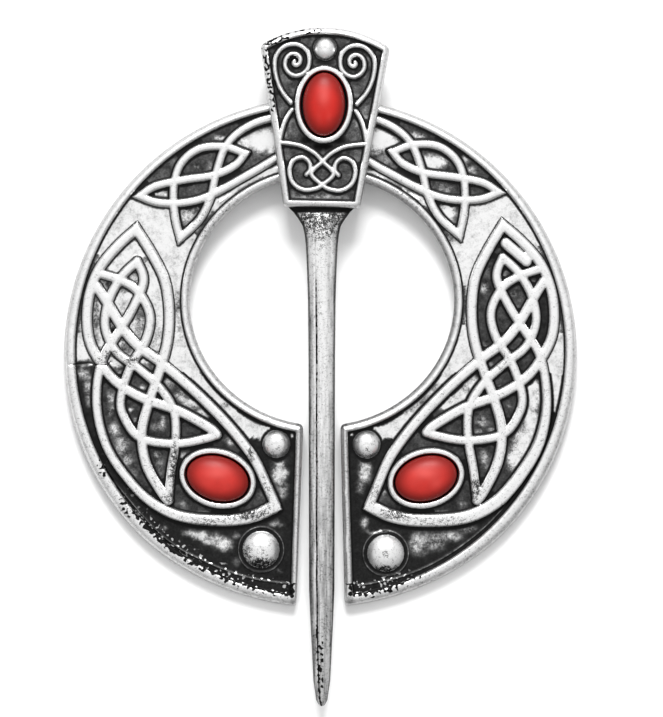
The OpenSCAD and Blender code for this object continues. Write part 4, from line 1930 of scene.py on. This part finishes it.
@dataclass
class Cabochon:
    """A smooth oval stone, by the middle of its foot and by half its length and width."""

    node: str
    body: str
    at: Triple
    turn: float
    # The painted highlight, above the middle, and paler clouds: x, y, reach along x and y, share
    clouds: Table
    semi: Pair = (3.42, 2.41)
    pale: float = 0.15
    girdle: float = 1.2
    dome: float = 1.3
    sides: int = 120
    rings: int = 26

    def highlight_and_cloud(self, plan: Array) -> Array:
        """Gives how pale the painted highlight and the clouds make the stone at each point.

        Args:
            plan: Rows of x and y in the brooch's own frame.

        Returns:
            The share of the palest colour at each point.
        """
        own = plan - np.array(self.at[:2])
        found = np.full(len(plan), self.pale)
        for x, y, wide, high, share in self.clouds:
            away = ((own[:, 0] - x) / wide) ** 2 + ((own[:, 1] - y) / high) ** 2
            found = found + share * np.exp(-away)
        return np.clip(found, 0, 1)

    def build(self, placement: Placement) -> bpy.types.Object:
        """Makes the stone and puts it in place of its solid.

        Args:
            placement: Where the brooch's own frame lies.

        Returns:
            The stone's object.
        """
        surface = Surface()
        x, y, foot = self.at
        angle = np.linspace(0, math.tau, self.sides, endpoint=False)
        line = np.stack([self.semi[0] * np.cos(angle), self.semi[1] * np.sin(angle)], axis=1)
        rise = np.linspace(0, math.pi / 2, self.rings)[:-1]
        rows = [(0.93, 0), (1, 0.12), (1, self.girdle * 0.6)]
        rows += [(math.cos(a) ** 0.94, self.girdle + self.dome * math.sin(a)) for a in rise]
        starts = []
        for share, level in rows:
            plan = turned(line * share, self.turn) + np.array([x, y])
            ring = np.column_stack([plan, np.full(self.sides, foot + level)])
            inward = (1 - share) * self.semi[1]
            finish = finish_rows(self.sides, inward, self.highlight_and_cloud(plan), 0, 0, 0)
            starts.append(surface.add(ring, finish))
        for below, above in zip(starts[:-1], starts[1:]):
            surface.skin(above, below, self.sides)
        ends = np.array([[x, y, foot], [x, y, foot + self.girdle + self.dome]])
        highlight_and_cloud = self.highlight_and_cloud(ends[:1, :2])[0]
        low = surface.add(ends, Finish(edge=self.semi[1], tone=highlight_and_cloud))
        surface.cap(low, starts[0], self.sides, ahead=True)
        surface.cap(low + 1, starts[-1], self.sides)
        made = surface.made(f"{self.node}_cabochon", placement)
        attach(made, self.body)
        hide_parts(self.node)
        return made


class Graph:
    """Adds nodes to a shader's tree and links them."""

    def __init__(self, tree: bpy.types.NodeTree) -> None:
        """Keeps the tree that the nodes go into."""
        self.tree = tree

    def node(self, kind: str, links: dict | None = None, **settings: object) -> bpy.types.Node:
        """Adds a node.

        Args:
            kind: The node's type.
            links: A socket or a plain value for each of the node's inputs, by name or number.
            settings: Values of the node's own properties.

        Returns:
            The new node.
        """
        made = self.tree.nodes.new(kind)
        for key, value in settings.items():
            setattr(made, key, value)
        for key, value in (links or {}).items():
            if isinstance(value, Socket):
                self.tree.links.new(value, made.inputs[key])
            else:
                made.inputs[key].default_value = value
        return made

    def math(self, operation: str, a: Value, b: Value = 0.0, clamp: bool = False) -> Socket:
        """Adds one step of arithmetic and gives its result."""
        return self.node("ShaderNodeMath", {0: a, 1: b}, operation=operation, use_clamp=clamp).outputs[0]

    def times(self, a: Value, b: Value) -> Socket:
        """Multiplies two values."""
        return self.math("MULTIPLY", a, b)

    def less(self, value: Value) -> Socket:
        """Gives 1 less a value."""
        return self.math("SUBTRACT", 1.0, value)

    def sum(self, *terms: tuple[Value, float], offset: float = 0.0) -> Socket:
        """Adds up values and a constant.

        Args:
            terms: The values, each with its factor.
            offset: The constant.

        Returns:
            The sum.
        """
        total = offset
        for value, factor in terms:
            links = {0: value, 1: factor, 2: total}
            total = self.node("ShaderNodeMath", links, operation="MULTIPLY_ADD").outputs[0]
        return total

    def ramp(self, value: Value, low: float, high: float, to: float = 1.0) -> Socket:
        """Rises smoothly from 0 at low to a top value at high."""
        links = {"Value": value, "From Min": low, "From Max": high, "To Min": 0.0, "To Max": to}
        return self.node("ShaderNodeMapRange", links, interpolation_type="SMOOTHSTEP").outputs[0]

    def noise(self, place: Socket, scale: float, detail: float = 2.0) -> Socket:
        """Adds a noise in object coordinates and gives its value."""
        links = {"Vector": place, "Scale": scale, "Detail": detail, "Roughness": 0.55}
        return self.node("ShaderNodeTexNoise", links).outputs[0]

    def attribute(self, name: str) -> Socket:
        """Reads one of a mesh's finish attributes."""
        return self.node("ShaderNodeAttribute", attribute_name=name).outputs["Fac"]

    def colours(self, share: Value, a: Socket | Triple, b: Socket | Triple) -> Socket:
        """Mixes two colours.

        Args:
            share: How much of the second colour the mix has.
            a: The first colour.
            b: The second colour.

        Returns:
            The mixed colour.
        """
        made = self.node("ShaderNodeMix", {"Factor": share}, data_type="RGBA")
        for key, value in ((6, a), (7, b)):
            if isinstance(value, Socket):
                self.tree.links.new(value, made.inputs[key])
            else:
                made.inputs[key].default_value = (*value, 1)
        return made.outputs[2]


@dataclass(frozen=True)
class Patina:
    """The black left in the hollows, the specks in it, the pits in the bright metal, and painted
    shade that greys raised metal towards its edges.

    Darkness runs as the eye sees it, from 0 on clean metal to 1 in the blackest hollow.

    Attributes:
        broad: The scale of the noise that drifts over whole panels.
        mottle: The scale of its clouds.
        speck: The scale of the finest specks.
        shred: The scale of torn shreds.
        rim: How far the softened edge of the black reaches to either side, in mm.
    """

    broad: float = 900.0
    mottle: float = 4200.0
    speck: float = 9500.0
    shred: float = 2600.0
    rim: float = 0.03

    def group(self) -> bpy.types.NodeTree:
        """Makes the node group that places the patina.

        Returns:
            A group with the inputs Edge, Tone, Film, Flake and Groove, and the outputs Darkness
            and Grain.
        """
        tree = bpy.data.node_groups.new("Patina", "ShaderNodeTree")
        for name in Finish._fields:
            tree.interface.new_socket(name.title(), in_out="INPUT", socket_type="NodeSocketFloat")
        for name in ("Darkness", "Grain"):
            tree.interface.new_socket(name, in_out="OUTPUT", socket_type="NodeSocketFloat")
        g = Graph(tree)
        into = g.node("NodeGroupInput").outputs
        tone, film, flake, groove = (into[name] for name in ("Tone", "Film", "Flake", "Groove"))
        place = g.node("ShaderNodeTexCoord").outputs["Object"]
        broad, mottle = g.noise(place, self.broad), g.noise(place, self.mottle)
        speck, shred = g.noise(place, self.speck, 1.0), g.noise(place, self.shred, 3.0)
        fine = g.sum((mottle, 0.6), (speck, 0.4))
        fleck = g.sum((g.noise(place, self.shred, 0.0), 0.85), (speck, 0.15))
        ragged = g.sum((into["Edge"], 1.0), (speck, 0.1), (mottle, 0.1), offset=-0.1)
        ground = g.ramp(ragged, -self.rim, self.rim)

        # The open ground: its mottling is strongest on a middle tone
        pale = g.less(tone)
        spread = g.times(g.times(tone, 6.75), g.times(pale, pale))
        rough = g.sum((speck, 1.0), (shred, 1.2), (mottle, 0.6), offset=-1.4)
        rough = g.times(rough, g.sum((g.times(spread, spread), 0.6), offset=0.12))
        drift = g.times(g.math("SUBTRACT", broad, 0.5), spread)
        open_tone = g.sum((tone, 1.0), (rough, 1.0), (drift, 1.1))

        # The black line beside raised metal, and glints where the face is torn
        reach = g.sum((groove, 0.3), offset=0.13)
        near = g.less(g.ramp(g.math("DIVIDE", ragged, reach), 0.4, 1.05))
        line = g.times(near, g.sum((groove, 0.26), offset=0.68))
        glint = g.times(g.ramp(fleck, 0.6, 0.68, 0.6), g.times(flake, ground))
        low = g.math("SUBTRACT", g.math("MAXIMUM", open_tone, line), glint)

        # Raised metal: grey towards its edge, as patina at the foot and painted shade on the rounded
        # sides; grey in clouds; and grey from the mesh's thin grey, mostly painted shade
        side = g.times(g.ramp(ragged, -0.42, 0.0), g.sum((groove, 0.42), offset=0.1))
        cloud = g.times(g.ramp(fine, 0.48, 0.68, 0.2), g.ramp(broad, 0.35, 0.6))
        veil = g.times(film, g.sum((mottle, 0.3), offset=0.4))
        grey = g.sum((side, 1.0), (cloud, 1.0), (veil, 1.0))

        # Its pits and torn shreds
        pits = g.ramp(g.sum((speck, 0.5), (shred, 0.5), (tone, 0.22)), 0.56, 0.74)
        pits = g.times(pits, g.sum((tone, 0.65), offset=0.22))
        torn = g.ramp(g.sum((fleck, -0.8), (mottle, 0.2), (flake, 0.28), offset=0.7), 0.52, 0.6, 0.9)
        torn = g.times(torn, g.ramp(flake, 0.05, 0.25))
        high = g.math("MAXIMUM", grey, g.math("MAXIMUM", pits, torn))

        dark = g.math("ADD", g.times(low, ground), g.times(high, g.less(ground)), clamp=True)
        g.node("NodeGroupOutput", {"Darkness": dark, "Grain": fine})
        return tree


@dataclass(frozen=True)
class AntiquedMetal:
    """Bright cast metal, blackened in its hollows and rubbed on its heights.

    Attributes:
        fall: How slowly the metal darkens at first, and how far it goes at the last.
        dulled: How much rougher the black is than the clean metal.
        grain: The strength of the finest unevenness, and its depth in metres.
    """

    bright: float = 0.755
    black: float = 0.006
    fall: Pair = (1.8, 1.05)
    polish: float = 0.3
    dulled: float = 0.2
    grain: Pair = (0.4, 0.00003)

    def material(self, patina: bpy.types.NodeTree) -> bpy.types.Material:
        """Makes the metal's material.

        Args:
            patina: The node group that places the patina.

        Returns:
            The new material, which reads the pieces' finish attributes.
        """
        made = bpy.data.materials.new("antiqued_metal")
        made.use_nodes = True
        g = Graph(made.node_tree)
        shader = made.node_tree.nodes["Principled BSDF"]
        group = g.node("ShaderNodeGroup", node_tree=patina)
        for key in Finish._fields:
            made.node_tree.links.new(g.attribute(key), group.inputs[key.title()])
        dark, grain = (group.outputs[key] for key in ("Darkness", "Grain"))
        power, share = self.fall
        depth = g.times(g.math("POWER", dark, power), share)
        colour = g.times(self.bright, g.math("POWER", self.black / self.bright, depth))
        rough = g.math("ADD", self.polish, g.times(dark, self.dulled))
        strength, distance = self.grain
        links = {"Strength": strength, "Distance": distance, "Height": grain}
        bump = g.node("ShaderNodeBump", links).outputs[0]
        shader.inputs["Metallic"].default_value = 1.0
        for key, value in (("Base Color", colour), ("Roughness", rough), ("Normal", bump)):
            made.node_tree.links.new(value, shader.inputs[key])
        return made


@dataclass(frozen=True)
class Coral:
    """Opaque red stone: faint clouds, painted highlight, painted shade at its rim, soft gloss."""

    body: Triple = (0.375, 0.009, 0.005)
    cloud: Triple = (0.3, 0.006, 0.003)
    # The colour of the painted highlight and of the paler clouds
    pale: Triple = (0.5, 0.061, 0.052)
    # The colour of the painted shade at the stone's edge, and below how far in it reaches
    rim: Triple = (0.15, 0.004, 0.002)
    rim_shade_reach: float = 1.3
    gloss: float = 0.22
    rough: Pair = (0.36, 0.12)

    def material(self) -> bpy.types.Material:
        """Makes the stone's material.

        Returns:
            The new material, which reads the stones' edge, for the painted shade at the rim, and
            their tone, for the painted highlight and paler clouds.
        """
        made = bpy.data.materials.new("red_stone")
        made.use_nodes = True
        g = Graph(made.node_tree)
        shader = made.node_tree.nodes["Principled BSDF"]
        place = g.node("ShaderNodeTexCoord").outputs["Object"]
        clouds = g.ramp(g.noise(place, 420.0, 3.0), 0.35, 0.7)
        shader.inputs["Specular IOR Level"].default_value = self.gloss
        colour = g.colours(clouds, self.body, self.cloud)
        # The painted highlight and paler clouds, by the tone attribute
        colour = g.colours(g.attribute("tone"), colour, self.pale)
        # Painted shade: darker towards the stone's edge
        colour = g.colours(g.ramp(g.attribute("edge"), 0.0, self.rim_shade_reach), self.rim, colour)
        least, more = self.rough
        rough = g.math("ADD", least, g.times(g.noise(place, 3000.0), more))
        for key, value in (("Base Color", colour), ("Roughness", rough)):
            made.node_tree.links.new(value, shader.inputs[key])
        return made


@dataclass
class Studio:
    """The camera, the pale floor and the soft light.

    Attributes:
        view_height: The height of the picture at the brooch, in mm.
        aim: The middle of the picture, in the brooch's own frame.
        half_floor: Half the floor's side, in metres.
    """

    placement: Placement
    view_height: float = 78.4
    distance: float = 550.0
    aim: Triple = (1.06, -0.284, 2.0)
    sensor: float = 36.0
    half_floor: float = 1.5
    floor_grey: float = 0.82
    horizon: Triple = (0.42, 0.42, 0.42)
    zenith: Triple = (1.1, 1.1, 1.1)

    def camera(self) -> None:
        """Points a long lens straight down the hoop's axis."""
        lens = bpy.data.cameras.new("camera")
        lens.sensor_width = self.sensor
        lens.lens = self.sensor * self.distance / self.view_height
        made = bpy.data.objects.new("camera", lens)
        eye = np.array([self.aim]) + np.array([[0, 0, self.distance]])
        made.location = self.placement.to_row(eye)[0]
        made.rotation_euler = (self.placement.tilt, 0, 0)
        bpy.context.scene.collection.objects.link(made)
        bpy.context.scene.camera = made

    def floor(self) -> None:
        """Lays a wide pale floor."""
        mesh = bpy.data.meshes.new("floor")
        half = self.half_floor
        corners = [(x * half, y * half, 0) for x, y in ((-1, -1), (1, -1), (1, 1), (-1, 1))]
        mesh.from_pydata(corners, [], [(0, 1, 2, 3)])
        made = bpy.data.objects.new("floor", mesh)
        material = bpy.data.materials.new("floor")
        material.use_nodes = True
        shader = material.node_tree.nodes["Principled BSDF"]
        shader.inputs["Base Color"].default_value = (*(self.floor_grey,) * 3, 1)
        shader.inputs["Roughness"].default_value = 0.8
        mesh.materials.append(material)
        bpy.context.scene.collection.objects.link(made)
        made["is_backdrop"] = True

    def sky(self) -> None:
        """Makes a soft white surround, greyer towards the horizon."""
        world = bpy.data.worlds.new("surround")
        bpy.context.scene.world = world
        world.use_nodes = True
        g = Graph(world.node_tree)
        way = g.node("ShaderNodeTexCoord").outputs["Generated"]
        ways = g.node("ShaderNodeSeparateXYZ", {0: way}).outputs
        up = g.math("ADD", ways["Z"], g.times(ways["Y"], 0.45))
        colour = g.colours(g.ramp(up, -0.5, 0.95), self.horizon, self.zenith)
        world.node_tree.links.new(colour, world.node_tree.nodes["Background"].inputs["Color"])

    def lamp(self, name: str, at: Triple, size: float, power: float) -> None:
        """Hangs a soft square lamp that faces the brooch.

        Args:
            name: The lamp's name.
            at: Its place, in metres.
            size: Its side, in metres.
            power: Its power, in watts.
        """
        light = bpy.data.lights.new(name, "AREA")
        light.size = size
        light.energy = power
        made = bpy.data.objects.new(name, light)
        made.location = at
        made.rotation_euler = (-Vector(at)).to_track_quat("-Z", "Y").to_euler()
        bpy.context.scene.collection.objects.link(made)

    def build(self) -> None:
        """Sets up the whole studio."""
        self.camera()
        self.floor()
        self.sky()
        self.lamp("back_panel", (0.0, 0.56, 0.62), 0.3, 8.0)
        bpy.context.scene.view_settings.view_transform = "Standard"


def main() -> None:
    """Builds the brooch's pieces, its finishes and its studio."""
    placement = Placement.of_hinge(frame["joints"][0])
    Studio(placement).build()
    metal = AntiquedMetal().material(Patina().group())
    coral = Coral().material()
    hoop, pin = HoopCasting(), HeadedPin()
    for part in (hoop, pin):
        part.build(placement).data.materials.append(metal)
    x, y, turn = hoop.stone
    bed = hoop.ground - BED
    head = (*pin.carried(np.array([pin.stone_at]))[0], pin.ground - BED)
    narrow = dict(semi=(3.43, 2.28), pale=0.0)
    stones = (
        Cabochon("right_stone", "hoop", (x, y, bed), turn, RIGHT_HIGHLIGHT_AND_CLOUDS),
        Cabochon("left_stone", "hoop", (-x, y, bed), -turn, LEFT_HIGHLIGHT_AND_CLOUDS),
        Cabochon("head_stone", "pin", head, 90 - pin.lean, HEAD_HIGHLIGHT_AND_CLOUDS, **narrow),
    )
    for stone in stones:
        stone.build(placement).data.materials.append(coral)


if __name__ == "__main__":
    logging.basicConfig(level=logging.INFO, format="%(name)s: %(message)s")
    main()
    boxes = {"cad": CAD_BOX, "visual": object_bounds()}
    {k: [list(corner) for corner in v] for k, v in boxes.items()}
